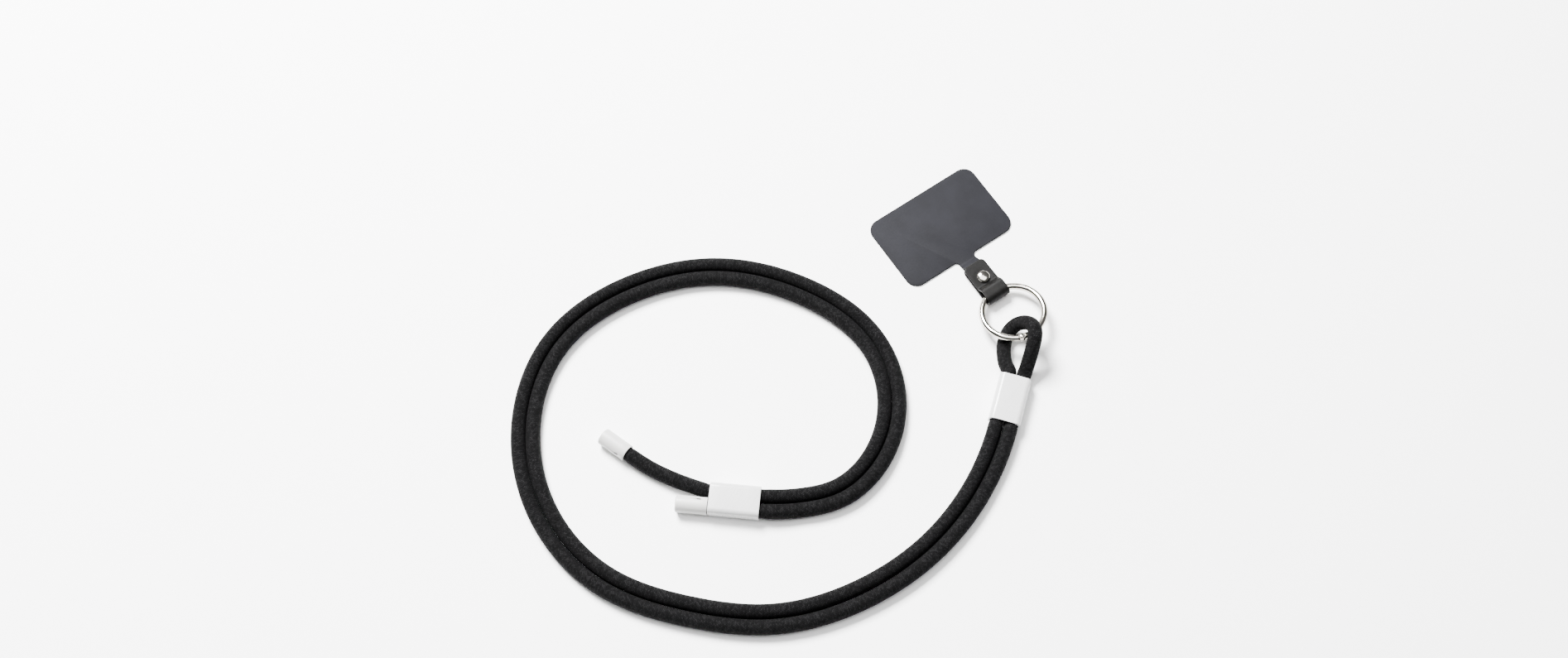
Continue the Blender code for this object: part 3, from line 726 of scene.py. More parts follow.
@dataclass
class Cord:
    """The round braided cord, doubled for most of its length and a little slimmer where it is held."""

    crossings: int = 20
    pitch: float = 0.65 * MM
    sides: int = 40
    step: float = 0.9 * MM
    free_r: float = 3.4 * MM
    held_r: float = 3.15 * MM
    widest_spacing: float = 6.95 * MM
    end_inside: float = CAP_BORE_DEPTH - GAP
    length: float = field(init=False, default=0.0)

    def strand(self, middle: np.ndarray, spacing: np.ndarray, side: int) -> np.ndarray:
        """Shift the middle line sideways.

        Args:
            middle: Points of the middle line.
            spacing: Strand spacing at each.
            side: +1 for its left, -1 for its right.

        Returns:
            The strand's points.
        """
        at, curve = spline_through(middle)
        ahead = curve(np.minimum(at + MM, at[-1])) - curve(np.maximum(at - MM, 0.0))
        ahead /= np.linalg.norm(ahead[:, :2], axis=1)[:, None]
        left = np.stack((-ahead[:, 1], ahead[:, 0], np.zeros(len(at))), axis=1)
        spacing = np.clip(spacing, 2 * self.free_r + 0.02 * MM, self.widest_spacing)
        return middle + left * (side * spacing / 2)[:, None]

    def route(self) -> list[np.ndarray]:
        """Route points of the whole cord, from inside the lower cap to inside the upper one."""
        ring_sleeve = sleeve_line(RING_SLEEVE_CENTRE, RING_SLEEVE_HEADING)
        slider = sleeve_line(SLIDER_CENTRE, SLIDER_HEADING)[:-1]
        pair = [np.array(grid(x, y)) + np.array((0.0, 0.0, CORD_R)) for x, y, _ in PAIR_ROUTE]
        middle = np.array([*reversed(ring_sleeve), *pair, *slider])
        spacing = np.array([STRAND_SPACING] * 5 + [s * MM for _, _, s in PAIR_ROUTE] + [STRAND_SPACING] * 4)
        a_in = cap_a_mouth() + self.end_inside * flat_heading(SLIDER_HEADING)
        b_mouth = cap_b_mouth()
        b_in = b_mouth + self.end_inside * flat_heading(CAP_B_HEADING)
        bight = [np.array(grid(*point)) for point in BIGHT_ROUTE]
        tail = [np.array(grid(*point)) for point in TAIL_ROUTE]
        return [a_in, *self.strand(middle, spacing, 1)[::-1], *bight,
                *self.strand(middle, spacing, -1), *tail, b_mouth, b_in]

    def freedom(self, points: np.ndarray) -> np.ndarray:
        """Tell held cord from free cord.

        Args:
            points: Centre points.

        Returns:
            Zero where a sleeve or cap holds the cord, one where it lies free, eased in between.
        """
        share = np.ones(len(points))
        half = SLEEVE_LENGTH / 2
        holders = ((np.array(grid(*RING_SLEEVE_CENTRE)), RING_SLEEVE_HEADING, -half, half, 2.5 * MM),
                   (np.array(grid(*SLIDER_CENTRE)), SLIDER_HEADING, -half, half, 5.0 * MM),
                   (cap_b_mouth(), CAP_B_HEADING, 0.0, CAP_BORE_DEPTH, 2.5 * MM),
                   (cap_a_mouth(), SLIDER_HEADING, -GAP, CAP_BORE_DEPTH, 2.5 * MM))
        for place, heading, low, high, over in holders:
            ahead = flat_heading(heading)
            offset = (points - place)[:, :2]
            along = offset @ ahead[:2]
            aside = np.abs(offset @ np.array((-ahead[1], ahead[0])))
            out = np.maximum(np.maximum(low - along, along - high), aside - CORD_D - GAP)
            eased = np.clip(out / over, 0.0, 1.0)
            share = np.minimum(share, eased * eased * (3 - 2 * eased))
        return share

    def line(self) -> np.ndarray:
        """Evenly spaced centre points, the free ones resting on the floor."""
        at, curve = spline_through(self.route())
        fine = curve(np.linspace(0.0, at[-1], 12000))
        off_ring = np.linalg.norm(fine[:, :2] - np.array(grid(*RING_CENTRE))[:2], axis=1)
        lift = np.clip((off_ring - 30.0 * MM) / (10.0 * MM), 0.0, 1.0) * (self.free_r - CORD_R) / 2
        fine[:, 2] = np.maximum(fine[:, 2], CORD_R) + lift * self.freedom(fine)
        run = np.concatenate(([0.0], np.cumsum(np.linalg.norm(np.diff(fine, axis=0), axis=1))))
        self.length = float(run[-1])
        stations = np.linspace(0.0, self.length, int(self.length / self.step) + 1)
        return np.stack([np.interp(stations, run, fine[:, axis]) for axis in range(3)], axis=1)

    def frames(self, line: np.ndarray) -> tuple[np.ndarray, np.ndarray]:
        """Carry a pair of cross axes along the line without twist.

        Args:
            line: Centre points.

        Returns:
            The side and up axes at each point.
        """
        ahead = np.gradient(line, axis=0)
        ahead /= np.linalg.norm(ahead, axis=1)[:, None]
        up = np.array((0.0, 0.0, 1.0))
        ups = []
        for direction in ahead:
            up = up - direction * float(up @ direction)
            up /= np.linalg.norm(up)
            ups.append(up)
        ups = np.array(ups)
        return np.cross(ups, ahead), ups

    def build(self) -> bpy.types.Object:
        """Make the tube with a UV map that counts its yarn crossings.

        Returns:
            The cord.
        """
        line = self.line()
        side, up = self.frames(line)
        turns = np.arange(self.sides) * 2 * math.pi / self.sides
        radius = (self.held_r + (self.free_r - self.held_r) * self.freedom(line))[:, None]
        points = (line[:, None, :] + (radius * np.cos(turns))[..., None] * side[:, None, :]
                  + (radius * np.sin(turns))[..., None] * up[:, None, :]).reshape(-1, 3)
        points[:, 2] = np.maximum(points[:, 2], 0.0)
        rows = len(line) - 1
        i = np.arange(rows)[:, None] * self.sides
        j = np.arange(self.sides)[None, :]
        k = (j + 1) % self.sides
        quads = np.stack((i + j, i + k, i + k + self.sides, i + j + self.sides), axis=2).reshape(-1, 4)
        last = len(points) - self.sides
        faces = quads.tolist() + [list(range(self.sides))[::-1], list(range(last, len(points)))]
        mesh = bpy.data.meshes.new("cord_braid")
        mesh.from_pydata(points.tolist(), [], faces)
        row = np.repeat(np.arange(rows), self.sides)
        column = np.tile(np.arange(self.sides), rows)
        u = np.stack((column, column + 1, column + 1, column), axis=1) * self.crossings / self.sides
        v = np.stack((row, row, row + 1, row + 1), axis=1) * self.length / rows / self.pitch
        wrapped = np.stack((u, v), axis=2).reshape(-1, 2)
        uv = np.zeros((len(mesh.loops), 2))
        uv[:len(wrapped)] = wrapped
        mesh.uv_layers.new(name="crossings").data.foreach_set("uv", uv.ravel())
        mesh.shade_smooth()
        item = bpy.data.objects.new("cord_braid", mesh)
        bpy.context.scene.collection.objects.link(item)
        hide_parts("cord")
        tuple(cap_a_mouth())
        return item

    def dress(self, item: bpy.types.Object, finish: bpy.types.Material) -> None:
        """Give the cord its braid."""
        dress_piece(item, finish, Body.STRAP)


def dress_piece(item: bpy.types.Object, finish: bpy.types.Material, body: Body) -> None:
    """Give a piece its material and the body it rides on.

    Args:
        item: The piece.
        finish: Its material.
        body: The body that carries it.
    """
    item.data.materials.clear()
    item.data.materials.append(finish)
    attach(item, body.value)


# Sleeves and caps


@dataclass
class Sleeve:
    """Flat white sleeve that holds both strands side by side."""

    name: str
    node: str
    centre: Point
    heading: float
    corner: float = 2.6 * MM
    lip: float = 0.25 * MM
    inner_lip: float = 0.16 * MM

    def section(self) -> list[tuple[float, float, float]]:
        """Closed section of the wall as (x, reach, corner), with rounded lips."""
        bore = CORD_R + GAP
        half = SLEEVE_LENGTH / 2
        outer = [(x, SLEEVE_R) for x in np.linspace(-half + self.lip, half - self.lip, 5)]
        outer += arc_points((half - self.lip, SLEEVE_R - self.lip), self.lip, math.pi / 2, 0.0, 4)[1:]
        front = [(x, reach, self.corner - SLEEVE_R + reach) for x, reach in outer]
        inner = arc_points((half - self.inner_lip, bore + self.inner_lip), self.inner_lip, 0.0, -math.pi / 2, 3)
        front += [(x, reach, reach) for x, reach in inner]
        return front + [(-x, reach, corner) for x, reach, corner in reversed(front[5:])]

    def build(self) -> bpy.types.Object:
        """Make the sleeve.

        Returns:
            The sleeve.
        """
        bm = swept(self.section(), STRAND_SPACING, 10, True)
        place = grid(*self.centre) + Vector((0.0, 0.0, SLEEVE_R))
        item = mesh_object(self.name, bm, placed(place, self.heading))
        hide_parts(self.node)
        return item

    def dress(self, item: bpy.types.Object, finish: bpy.types.Material) -> None:
        """Give the sleeve its plastic."""
        dress_piece(item, finish, Body.STRAP)


@dataclass
class EndCap:
    """White cap on a cord end, with a small slot in its wall."""

    name: str
    node: str
    mouth: np.ndarray
    heading: float
    slot_turn: float
    length: float = 14.6 * MM
    crown: float = 0.9 * MM
    lip: float = 0.2 * MM
    slot_length: float = 2.2 * MM
    slot_width: float = 1.0 * MM
    slot_from_mouth: float = 3.9 * MM

    def section(self) -> list[Point]:
        """Half section as (x, radius), from the bore's floor round the mouth to the closed end."""
        bore = CORD_R + GAP
        wall = [(CAP_BORE_DEPTH, 0.0), (CAP_BORE_DEPTH, bore), (self.lip, bore)]
        wall += arc_points((self.lip, bore + self.lip), self.lip, -math.pi / 2, -math.pi, 3)[1:]
        wall += arc_points((self.lip, CAP_R - self.lip), self.lip, math.pi, math.pi / 2, 3)
        wall += [(self.length * share, CAP_R) for share in (0.3, 0.6)]
        wall += arc_points((self.length - self.crown, CAP_R - self.crown), self.crown, math.pi / 2, 0.0, 8)
        return wall + [(self.length, CAP_R * 0.4), (self.length, 0.0)]

    def build(self) -> bpy.types.Object:
        """Make the cap and cut its slot.

        Returns:
            The cap.
        """
        place = placed(self.mouth, self.heading) @ Matrix.Rotation(self.slot_turn, 4, "X")
        item = mesh_object(self.name, turned(self.section(), 20), place)
        reach = (self.slot_length - self.slot_width) / 2
        radius = self.slot_width / 2
        outline = arc_points((reach, 0.0), radius, -math.pi / 2, math.pi / 2, 8)
        outline += arc_points((-reach, 0.0), radius, math.pi / 2, 3 * math.pi / 2, 8)
        cutter = prism(outline, CORD_R, CAP_R + MM)
        combine(item, cutter, place @ Matrix.Translation((self.slot_from_mouth, 0.0, 0.0)))
        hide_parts(self.node)
        return item

    def dress(self, item: bpy.types.Object, finish: bpy.types.Material) -> None:
        """Give the cap its plastic."""
        dress_piece(item, finish, Body.STRAP)


# Ring, in a frame with X from the eye to the bight, Z normal to the ring and its origin at the centre


def polar(radius: float, angle: float) -> Point:
    """Point in the ring's plane."""
    return (radius * math.cos(angle), radius * math.sin(angle))


@dataclass
class SpringRing:
    """Round wire ring with a swinging gate, a fork and pin at one end and a stepped latch at the other."""

    pin_angle: float = math.radians(-21.5)
    latch_angle: float = math.radians(-104.0)
    lip_angle: float = math.radians(6.0)
    wire_sides: int = 40
    wire_step: float = math.radians(2.0)
    slot_thickness: float = 1.6 * MM
    cheek: float = 1.2 * MM
    pin_d: float = 1.0 * MM
    head_d: float = 1.9 * MM
    head_height: float = 0.45 * MM
    pin_gap: float = 0.2 * MM

    def frame(self) -> Matrix:
        """World placement of the ring."""
        to_bight = Vector(flat_heading(TETHER_HEADING))
        eye = grid(*RING_CENTRE) - to_bight * math.cos(RING_TILT) * RING_R
        height = TAB_BOTTOM + LEATHER + GAP + WIRE_R + math.sin(RING_TILT) * RING_R
        centre = eye + to_bight * math.cos(RING_TILT) * RING_R + Vector((0.0, 0.0, height))
        return placed(centre, TETHER_HEADING) @ Matrix.Rotation(-RING_TILT, 4, "Y")

    def at_pin(self) -> Matrix:
        """World placement about the pin."""
        return self.frame() @ Matrix.Translation((*polar(RING_R, self.pin_angle), 0.0))

    def bent_wire(self, start: float, end: float) -> bmesh.types.BMesh:
        """Bend round wire along an arc of the ring, with flat ends.

        Args:
            start: First angle.
            end: Last angle.

        Returns:
            The closed wire.
        """
        bm = bmesh.new()
        sections = []
        for angle in np.linspace(start, end, math.ceil(abs(end - start) / self.wire_step) + 1):
            turns = (np.arange(self.wire_sides) + 0.5) * 2 * math.pi / self.wire_sides
            sections.append([bm.verts.new((*polar(RING_R + WIRE_R * math.cos(t), angle),
                                           WIRE_R * math.sin(t))) for t in turns])
        for first, second in zip(sections, sections[1:]):
            for k in range(self.wire_sides):
                j = (k + 1) % self.wire_sides
                bm.faces.new((first[k], first[j], second[j], second[k]))
        bm.faces.new(sections[0])
        bm.faces.new(sections[-1])
        return bm

    def seam_angle(self, radius: float, reach: float) -> float:
        """Angle at which a circle about the pin crosses a radius of the ring."""
        cosine = (RING_R ** 2 + radius ** 2 - reach ** 2) / (2 * RING_R * radius)
        return self.pin_angle - math.acos(cosine)

    def reach_to(self, angle: float) -> float:
        """Distance from the pin to the wire's middle line at an angle of the ring."""
        return (Vector(polar(RING_R, angle)) - Vector(polar(RING_R, self.pin_angle))).length

    def latch_outline(self, clearance: float, split: float, beyond: float) -> list[Point]:
        """Draw one side of the latch's stepped seam, whose two faces are arcs about the pin.

        Args:
            clearance: Room added to both arcs.
            split: Radius of the step between them.
            beyond: Angle at which the outline closes.

        Returns:
            The outline of what is cut away.
        """
        outside, inside = RING_R + 2 * WIRE_R, RING_R - 2 * WIRE_R
        lip = self.reach_to(self.latch_angle + self.lip_angle) + clearance
        tip = self.reach_to(self.latch_angle) + clearance
        outline = [polar(r, self.seam_angle(r, lip)) for r in np.linspace(outside, split, 11)]
        start, end = self.seam_angle(split, lip), self.seam_angle(split, tip)
        outline += [polar(split, start + (end - start) * share) for share in (0.2, 0.4, 0.6, 0.8)]
        outline += [polar(r, self.seam_angle(r, tip)) for r in np.linspace(split, inside, 13)]
        return outline + [polar(inside, beyond), polar(outside, beyond)]

    def build_body(self) -> bpy.types.Object:
        """Make the fixed part of the ring.

        Returns:
            The ring.
        """
        lip_end = self.latch_angle + 2 * self.lip_angle
        item = mesh_object("spring_ring", self.bent_wire(self.pin_angle, lip_end + 2 * math.pi), self.frame())
        combine(item, prism(disc(WIRE_R), -self.cheek, self.cheek), self.at_pin(), "UNION")
        for side in (1, -1):
            low, high = sorted((side * self.cheek, side * 2 * WIRE_R))
            combine(item, prism(disc(WIRE_R + self.pin_gap), low, high), self.at_pin())
        slot = self.slot_thickness / 2
        combine(item, prism(disc(WIRE_R + GAP), -slot, slot), self.at_pin())
        combine(item, prism(disc(self.pin_d / 2 + self.pin_gap, 32), -WIRE_D, WIRE_D), self.at_pin())
        latch = self.latch_outline(GAP * 0.7, RING_R + GAP * 0.35, lip_end + 2 * self.lip_angle)
        combine(item, prism(latch, -WIRE_D, WIRE_D), self.frame())
        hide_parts("ring_body")
        return item

    def build_gate(self) -> bpy.types.Object:
        """Make the swinging part of the ring.

        Returns:
            The gate.
        """
        past_tip = self.latch_angle - 2 * self.lip_angle
        item = mesh_object("spring_gate", self.bent_wire(past_tip, self.pin_angle), self.frame())
        shoulder = WIRE_R + GAP
        combine(item, prism(disc(shoulder), -WIRE_D, WIRE_D), self.at_pin())
        half = self.slot_thickness / 2 - GAP
        side = Vector(polar(WIRE_R * 0.75, self.pin_angle))
        along = Vector(polar(shoulder + WIRE_R / 3, self.pin_angle - math.pi / 2))
        bar = [tuple(-side), tuple(along - side), tuple(along + side), tuple(side)]
        combine(item, prism(bar, -half, half), self.at_pin(), "UNION")
        combine(item, prism(disc(WIRE_R - GAP / 2), -half * 0.999, half * 0.999), self.at_pin(), "UNION")
        combine(item, prism(disc(self.pin_d / 2 + self.pin_gap, 32), -WIRE_D, WIRE_D), self.at_pin())
        latch = self.latch_outline(0.0, RING_R - GAP * 0.35, past_tip - 2 * self.lip_angle)
        combine(item, prism(latch, -WIRE_D, WIRE_D), self.frame())
        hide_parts("ring_gate")
        return item

    def build_pin(self) -> bpy.types.Object:
        """Make the headed pin that the gate swings on.

        Returns:
            The pin.
        """
        shank, head = self.pin_d / 2, self.head_d / 2
        under = self.cheek + self.pin_gap
        dome = [(under + self.head_height * (0.35 + 0.65 * math.sin(a)), head * math.cos(a))
                for a in np.linspace(0.0, math.pi / 2, 8)]
        upper = [(under, shank), (under, head)] + dome
        section = [(-x, radius) for x, radius in reversed(upper)] + upper
        turn = self.at_pin() @ Matrix.Rotation(-math.pi / 2, 4, "Y")
        item = mesh_object("gate_pin", turned(section, 10), turn)
        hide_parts("ring_pin")
        return item

    def dress(self, item: bpy.types.Object, finish: bpy.types.Material, body: Body) -> None:
        """Give a piece of the ring its nickel."""
        item.data.set_sharp_from_angle(angle=math.radians(35))
        dress_piece(item, finish, body)


# Tether, in a frame with X along its heading and its origin under the ring's eye


def tether_frame() -> Matrix:
    """World placement of the tether."""
    to_bight = Vector(flat_heading(TETHER_HEADING))
    return placed(grid(*RING_CENTRE) - to_bight * math.cos(RING_TILT) * RING_R, TETHER_HEADING)


@dataclass
class LeatherTab:
    """Strip folded round the ring, its two ends one over the other."""

    width: float = 12.0 * MM
    rear_width: float = 11.4 * MM
    corner: float = 2.2 * MM
    edge: float = 0.42 * MM
    shoulder: float = 5.4 * MM
    columns: int = 18
    step: float = 0.45 * MM

    def middle_line(self) -> np.ndarray:
        """Middle of the strip in XZ, from the end of the bottom layer round the eye to the top one's end."""
        eye_r = WIRE_R + GAP + 0.35 * MM / 2
        front = RING_R - math.sqrt(RING_R ** 2 - (self.width / 2) ** 2)
        low = TAB_BOTTOM + LEATHER / 2
        centre = (front, TAB_BOTTOM + LEATHER + eye_r)
        fold = arc_points(centre, eye_r + LEATHER / 2, -math.pi / 2, math.pi / 2, 16)
        top = TOP_LAYER_BOTTOM + LEATHER / 2
        crown = fold[-1][1]
        slope = [(-eye_r + (eye_r - self.shoulder) * s, crown + (top - crown) * s * s * (3 - 2 * s))
                 for s in np.linspace(0.0, 1.0, 9)]
        path = [(-TAB_LENGTH, low), (-self.shoulder, low), *fold, *slope, (-TAB_LENGTH, top)]
        path = np.array(path)
        run = np.concatenate(([0.0], np.cumsum(np.linalg.norm(np.diff(path, axis=0), axis=1))))
        even = np.linspace(0.0, run[-1], int(run[-1] / self.step) + 1)
        ends = np.array((0.1, 0.25, 0.45)) * self.edge * 2
        even = np.sort(np.concatenate((even, ends, run[-1] - ends)))
        return np.stack((np.interp(even, run, path[:, 0]), np.interp(even, run, path[:, 1]), even), axis=1)

    def half_width(self, run: float, total: float, x: float) -> float:
        """Half width at a place on the strip.

        Args:
            run: Length from the strip's start.
            total: The strip's whole length.
            x: Place along the tether.

        Returns:
            Half of the width there, with the rear corners rounded.
        """
        share = min(max(-x / TAB_LENGTH, 0.0), 1.0)
        half = (self.width + (self.rear_width - self.width) * share) / 2
        inset = self.corner - min(run, total - run)
        if inset <= 0.0:
            return half
        return half - self.corner + math.sqrt(max(self.corner ** 2 - inset ** 2, 0.0))

    def thickness(self, inset: float) -> float:
        """Half thickness at a distance in from an edge."""
        if inset >= self.edge:
            return LEATHER / 2
        fall = 1.0 - inset / self.edge
        return LEATHER / 2 - self.edge * (1.0 - math.sqrt(max(1.0 - fall * fall, 0.0)))

    def build(self) -> bpy.types.Object:
        """Make the folded strip with rounded edges and the rivet's dimple.

        Returns:
            The tab.
        """
        rows = self.middle_line()
        total = rows[-1, 2]
        tangent = np.gradient(rows[:, :2], axis=0)
        tangent /= np.linalg.norm(tangent, axis=1)[:, None]
        places = [-1.0, -0.985, -0.96, -0.93] + list(np.linspace(-0.86, 0.86, self.columns)) + [0.93, 0.96, 0.985, 1.0]
        bm = bmesh.new()
        outer, inner = [], []
        for (x, z, run), (ahead_x, ahead_z) in zip(rows, tangent):
            half = self.half_width(run, total, x)
            normal = (ahead_z, -ahead_x)
            over, under = [], []
            for place in places:
                y = half * place
                inset = min(half * (1.0 - abs(place)), run, total - run)
                thick = self.thickness(inset)
                dent = 0.0
                if run > total / 2:
                    away = math.hypot(x + RIVET_FROM_EYE, y) / (3.9 * MM)
                    dent = -0.16 * MM * math.exp(-away ** 4)
                over.append(bm.verts.new((x + normal[0] * thick, y, z + normal[1] * thick + dent)))
                under.append(bm.verts.new((x - normal[0] * thick, y, z - normal[1] * thick + dent)))
            outer.append(over)
            inner.append(under)
        last = len(places) - 1
        for i in range(len(rows) - 1):
            for j in range(last):
                bm.faces.new((outer[i][j], outer[i][j + 1], outer[i + 1][j + 1], outer[i + 1][j]))
                bm.faces.new((inner[i][j], inner[i + 1][j], inner[i + 1][j + 1], inner[i][j + 1]))
            for j in (0, last):
                bm.faces.new((outer[i][j], outer[i + 1][j], inner[i + 1][j], inner[i][j]))
        for i in (0, len(rows) - 1):
            for j in range(last):
                bm.faces.new((outer[i][j], outer[i][j + 1], inner[i][j + 1], inner[i][j]))
        item = mesh_object("leather_strip", bm, tether_frame())
        hole = prism(disc(1.3 * MM + GAP, 32), -MM, TOP_LAYER_BOTTOM + 3 * LEATHER)
        combine(item, hole, tether_frame() @ Matrix.Translation((-RIVET_FROM_EYE, 0.0, 0.0)))
        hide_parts("leather_tab")
        return item

    def dress(self, item: bpy.types.Object, finish: bpy.types.Material) -> None:
        """Give the tab its leather."""
        item.data.set_sharp_from_angle(angle=math.radians(50))
        dress_piece(item, finish, Body.STRAP)


@dataclass
class Rivet:
    """Domed rivet through the tab and the patch's neck."""

    head_r: float = 3.0 * MM
    shank_r: float = 1.3 * MM
    dome: float = 1.4 * MM
    rim: float = 0.35 * MM

    def build(self) -> bpy.types.Object:
        """Make the rivet.

        Returns:
            The rivet.
        """
        seat = TOP_LAYER_BOTTOM + LEATHER + LAYER_GAP
        edge = 0.12 * MM
        back = [(0.0, 0.0), (0.0, self.head_r - edge)]
        back += arc_points((edge, self.head_r - edge), edge, math.pi, math.pi / 2, 3)[1:]
        back += [(RIVET_BACK, self.head_r), (RIVET_BACK, self.shank_r)]
        head = [(seat - 0.2 * MM, self.shank_r), (seat - 0.2 * MM, self.head_r - edge), (seat - 0.1 * MM, self.head_r)]
        head += [(seat + self.rim + (self.dome - self.rim) * math.sin(a), self.head_r * math.cos(a))
                 for a in np.linspace(0.0, math.pi / 2, 16)]
        turn = tether_frame() @ Matrix.Translation((-RIVET_FROM_EYE, 0.0, 0.0)) @ Matrix.Rotation(-math.pi / 2, 4, "Y")
        item = mesh_object("dome_rivet", turned(back + head, 18), turn)
        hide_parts("rivet")
        return item

    def dress(self, item: bpy.types.Object, finish: bpy.types.Material) -> None:
        """Give the rivet its nickel."""
        dress_piece(item, finish, Body.STRAP)


@dataclass
class Patch:
    """Thin sheet with a neck that climbs between the tab's layers."""

    width: float = 61.0 * MM
    length: float = 40.0 * MM
    corner: float = 6.0 * MM
    neck_width: float = 9.0 * MM
    shoulder: float = 2.0 * MM
    neck_free: float = 5.5 * MM
    neck_end: float = 6.2 * MM
    edge: float = 0.3 * MM

    def lift(self, x: float) -> float:
        """Height of the underside: flat on the floor, then an easy rise into the tab."""
        start = -TAB_LENGTH - self.neck_free + self.shoulder
        share = min(max((x - start) / (-TAB_LENGTH - start), 0.0), 1.0)
        return NECK_BOTTOM * share * share * (3 - 2 * share)

    def outlines(self) -> tuple[list[Point], list[Point]]:
        """Left edge of the flat sheet from its far end to the neck's root, then of the neck."""
        near = -TAB_LENGTH - self.neck_free
        far = near - self.length
        half, neck = self.width / 2, self.neck_width / 2
        flat = arc_points((far + self.corner, half - self.corner), self.corner, math.pi, math.pi / 2, 14)
        flat += arc_points((near - self.corner, half - self.corner), self.corner, math.pi / 2, 0.0, 14)
        flat += arc_points((near + self.shoulder, neck + self.shoulder), self.shoulder, math.pi, 1.5 * math.pi, 10)
        rise = np.linspace(near + self.shoulder, -TAB_LENGTH, 15)[1:]
        return flat, [(x, neck) for x in [*rise, -self.neck_end]]

    def build(self) -> bpy.types.Object:
        """Make the sheet with soft edges.

        Returns:
            The patch.
        """
        flat, neck = self.outlines()
        bm = bmesh.new()
        layers = []
        for height in (0.0, PATCH_THICKNESS):
            rows = []
            for x, y in flat + neck:
                z = self.lift(x) + height
                rows.append((bm.verts.new((x, -y, z)), bm.verts.new((x, y, z))))
            layers.append(rows)
        root = len(flat) - 1
        for rows in layers:
            bm.faces.new([row[0] for row in rows[:root + 1]] + [row[1] for row in reversed(rows[:root + 1])])
            for (right, left), (next_right, next_left) in zip(rows[root:], rows[root + 1:]):
                bm.faces.new((right, left, next_left, next_right))
        lower, upper = layers
        for side in (0, 1):
            for i in range(len(lower) - 1):
                bm.faces.new((lower[i][side], lower[i + 1][side], upper[i + 1][side], upper[i][side]))
        for row in (0, -1):
            bm.faces.new((lower[row][0], lower[row][1], upper[row][1], upper[row][0]))
        bmesh.ops.recalc_face_normals(bm, faces=bm.faces)
        rim = [edge for edge in bm.edges if edge.calc_face_angle(0.0) > math.radians(60)]
        bmesh.ops.bevel(bm, geom=rim, offset=self.edge, segments=3, profile=0.5, affect="EDGES")
        item = mesh_object("tether_sheet", bm, tether_frame(), math.radians(60))
        hole = prism(disc(1.3 * MM + GAP, 32), -MM, TOP_LAYER_BOTTOM + 3 * LEATHER)
        combine(item, hole, tether_frame() @ Matrix.Translation((-RIVET_FROM_EYE, 0.0, 0.0)))
        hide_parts("tether_patch")
        return item

    def dress(self, item: bpy.types.Object, finish: bpy.types.Material) -> None:
        """Give the patch its grey."""
        dress_piece(item, finish, Body.STRAP)


# Studio


@dataclass
class Studio:
    """Pale floor, soft lights and the camera."""

    lens: float = 38.0
    sensor: float = 36.0
    camera_place: tuple[float, float, float] = (0.0, -291.2, 727.9)
    floor_size: float = 6.0

    def build_camera(self) -> None:
        """Set the camera at the photographed angle, aimed at the grid's origin."""
        data = bpy.data.cameras.new("camera")
        data.lens = self.lens
        data.sensor_width = self.sensor
        data.sensor_fit = "HORIZONTAL"
        data.clip_start, data.clip_end = 0.01, 20.0
        camera = bpy.data.objects.new("camera", data)
        camera.location = grid(*self.camera_place)
        camera.rotation_euler = (grid(0.0, 0.0) - camera.location).to_track_quat("-Z", "Y").to_euler()
        bpy.context.scene.collection.objects.link(camera)
        bpy.context.scene.camera = camera

    def build_floor(self) -> None:
        """Lay the pale floor."""
        graph = Graph("studio_floor")
        paper = graph.noise(graph.place(), 300.0, 2.0)
        graph.drive("Base Color", graph.blend(paper, (0.955, 0.955, 0.955), (0.97, 0.97, 0.97)))
        graph.constants(Roughness=0.9, Specular_IOR_Level=0.1)
        half = self.floor_size / 2
        corners = [(-half, -half), (half, -half), (half, half), (-half, half)]
        bm = bmesh.new()
        bm.faces.new([bm.verts.new((x, y, 0.0)) for x, y in corners])
        floor = mesh_object("floor", bm)
        floor.data.materials.append(graph.material)

    def add_area(self, name: str, place: Sequence[float], size: Point, power: float) -> None:
        """Add a soft light aimed at the strap.

        Args:
            name: Light name.
            place: World position.
            size: Width and height of the light.
            power: Power in watts.
        """
        data = bpy.data.lights.new(name, "AREA")
        data.shape = "RECTANGLE"
        data.size, data.size_y = size
        data.energy = power
        light = bpy.data.objects.new(name, data)
        light.location = place
        light.rotation_euler = (-light.location).to_track_quat("-Z", "Y").to_euler()
        bpy.context.scene.collection.objects.link(light)

    def build_lights(self) -> None:
        """Light the strap softly from behind and above."""
        world = bpy.data.worlds.new("studio")
        world.use_nodes = True
        shader = world.node_tree.nodes["Background"]
        shader.inputs["Color"].default_value = (1.0, 1.0, 1.0, 1.0)
        shader.inputs["Strength"].default_value = 0.15
        bpy.context.scene.world = world
        self.add_area("key", (-0.56, 0.84, 1.2), (0.66, 0.54), 235.0)
        self.add_area("top", (0.05, 0.1, 1.5), (1.3, 1.0), 28.0)


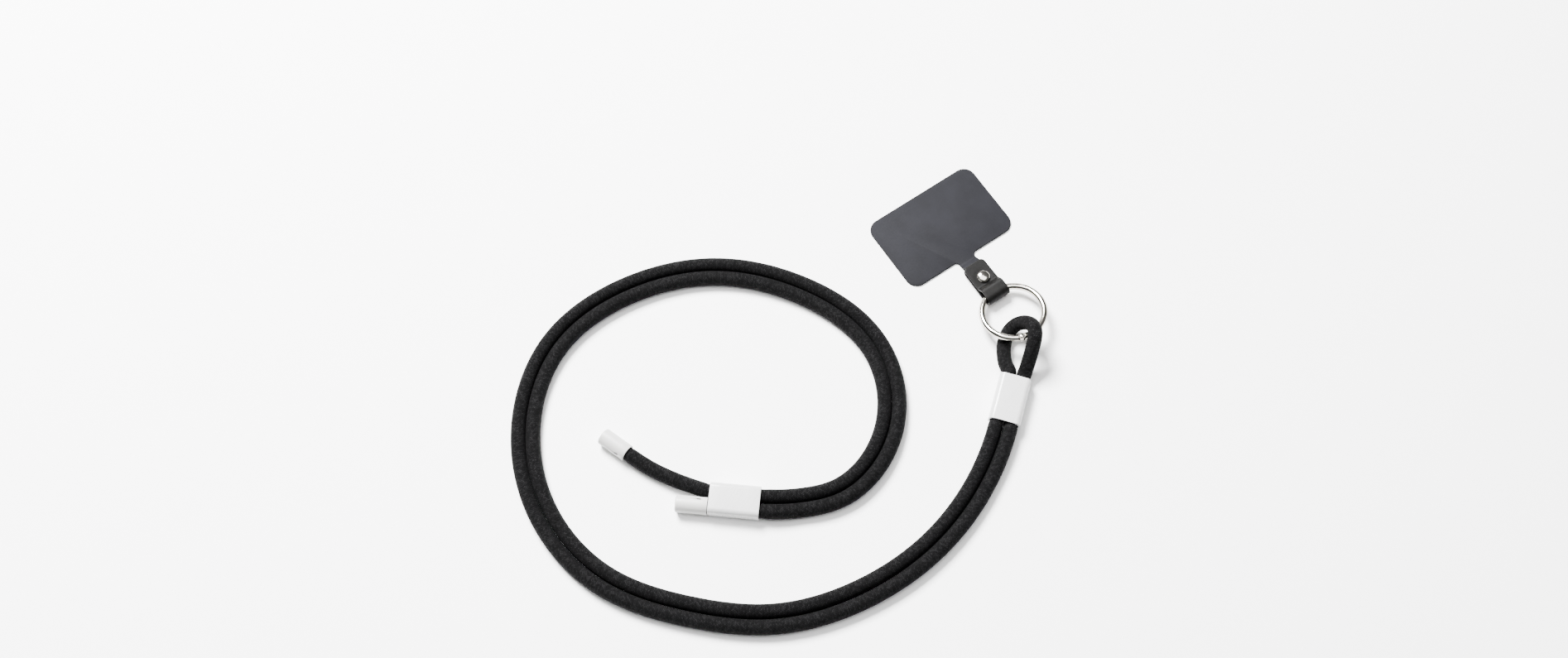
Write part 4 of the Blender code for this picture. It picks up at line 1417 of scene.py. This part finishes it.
def main() -> None:
    """Build the strap piece by piece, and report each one."""
    logging.basicConfig(level=logging.INFO, format="%(message)s")
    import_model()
    studio = Studio()
    studio.build_camera()
    cord = Cord()
    braid = cord.build()
    cord.dress(braid, BraidFinish().build())
    report("cord", [braid])

    gloss = PlasticFinish("sleeve_gloss", (0.47, 0.47, 0.468), (0.45, 0.45, 0.448), (0.24, 0.36), 0.15, 0.02).build()
    satin = PlasticFinish("cap_satin", (0.44, 0.436, 0.425), (0.42, 0.416, 0.405), (0.36, 0.5), 0.0, 0.03).build()
    sleeves = (Sleeve("sleeve_by_ring", "ring_sleeve", RING_SLEEVE_CENTRE, RING_SLEEVE_HEADING),
               Sleeve("sleeve_slider", "slider_sleeve", SLIDER_CENTRE, SLIDER_HEADING))
    for sleeve in sleeves:
        item = sleeve.build()
        sleeve.dress(item, gloss)
        report("sleeve", [item])
    caps = (EndCap("cap_lower", "end_cap_a", cap_a_mouth(), SLIDER_HEADING, math.radians(35)),
            EndCap("cap_upper", "end_cap_b", cap_b_mouth(), CAP_B_HEADING, math.radians(-66)))
    for cap in caps:
        item = cap.build()
        cap.dress(item, satin)
        report("end cap", [item])

    nickel = NickelFinish().build()
    ring = SpringRing()
    pieces = [(ring.build_body(), Body.STRAP), (ring.build_gate(), Body.GATE), (ring.build_pin(), Body.STRAP)]
    for item, body in pieces:
        ring.dress(item, nickel, body)
    report("spring ring", [item for item, _ in pieces])

    tab = LeatherTab()
    strip = tab.build()
    tab.dress(strip, LeatherFinish().build())
    rivet = Rivet()
    dome = rivet.build()
    rivet.dress(dome, nickel)
    patch = Patch()
    sheet = patch.build()
    patch.dress(sheet, PatchFinish().build())
    report("tether", [strip, dome, sheet])

    studio.build_floor()
    studio.build_lights()


def report(what: str, items: Iterable[bpy.types.Object]) -> None:
    """Log the pieces of a sub-assembly and their face counts."""
    LOG.info("%s: %s", what, ", ".join(f"{item.name} {len(item.data.polygons)} faces" for item in items))


if __name__ == "__main__":
    main()
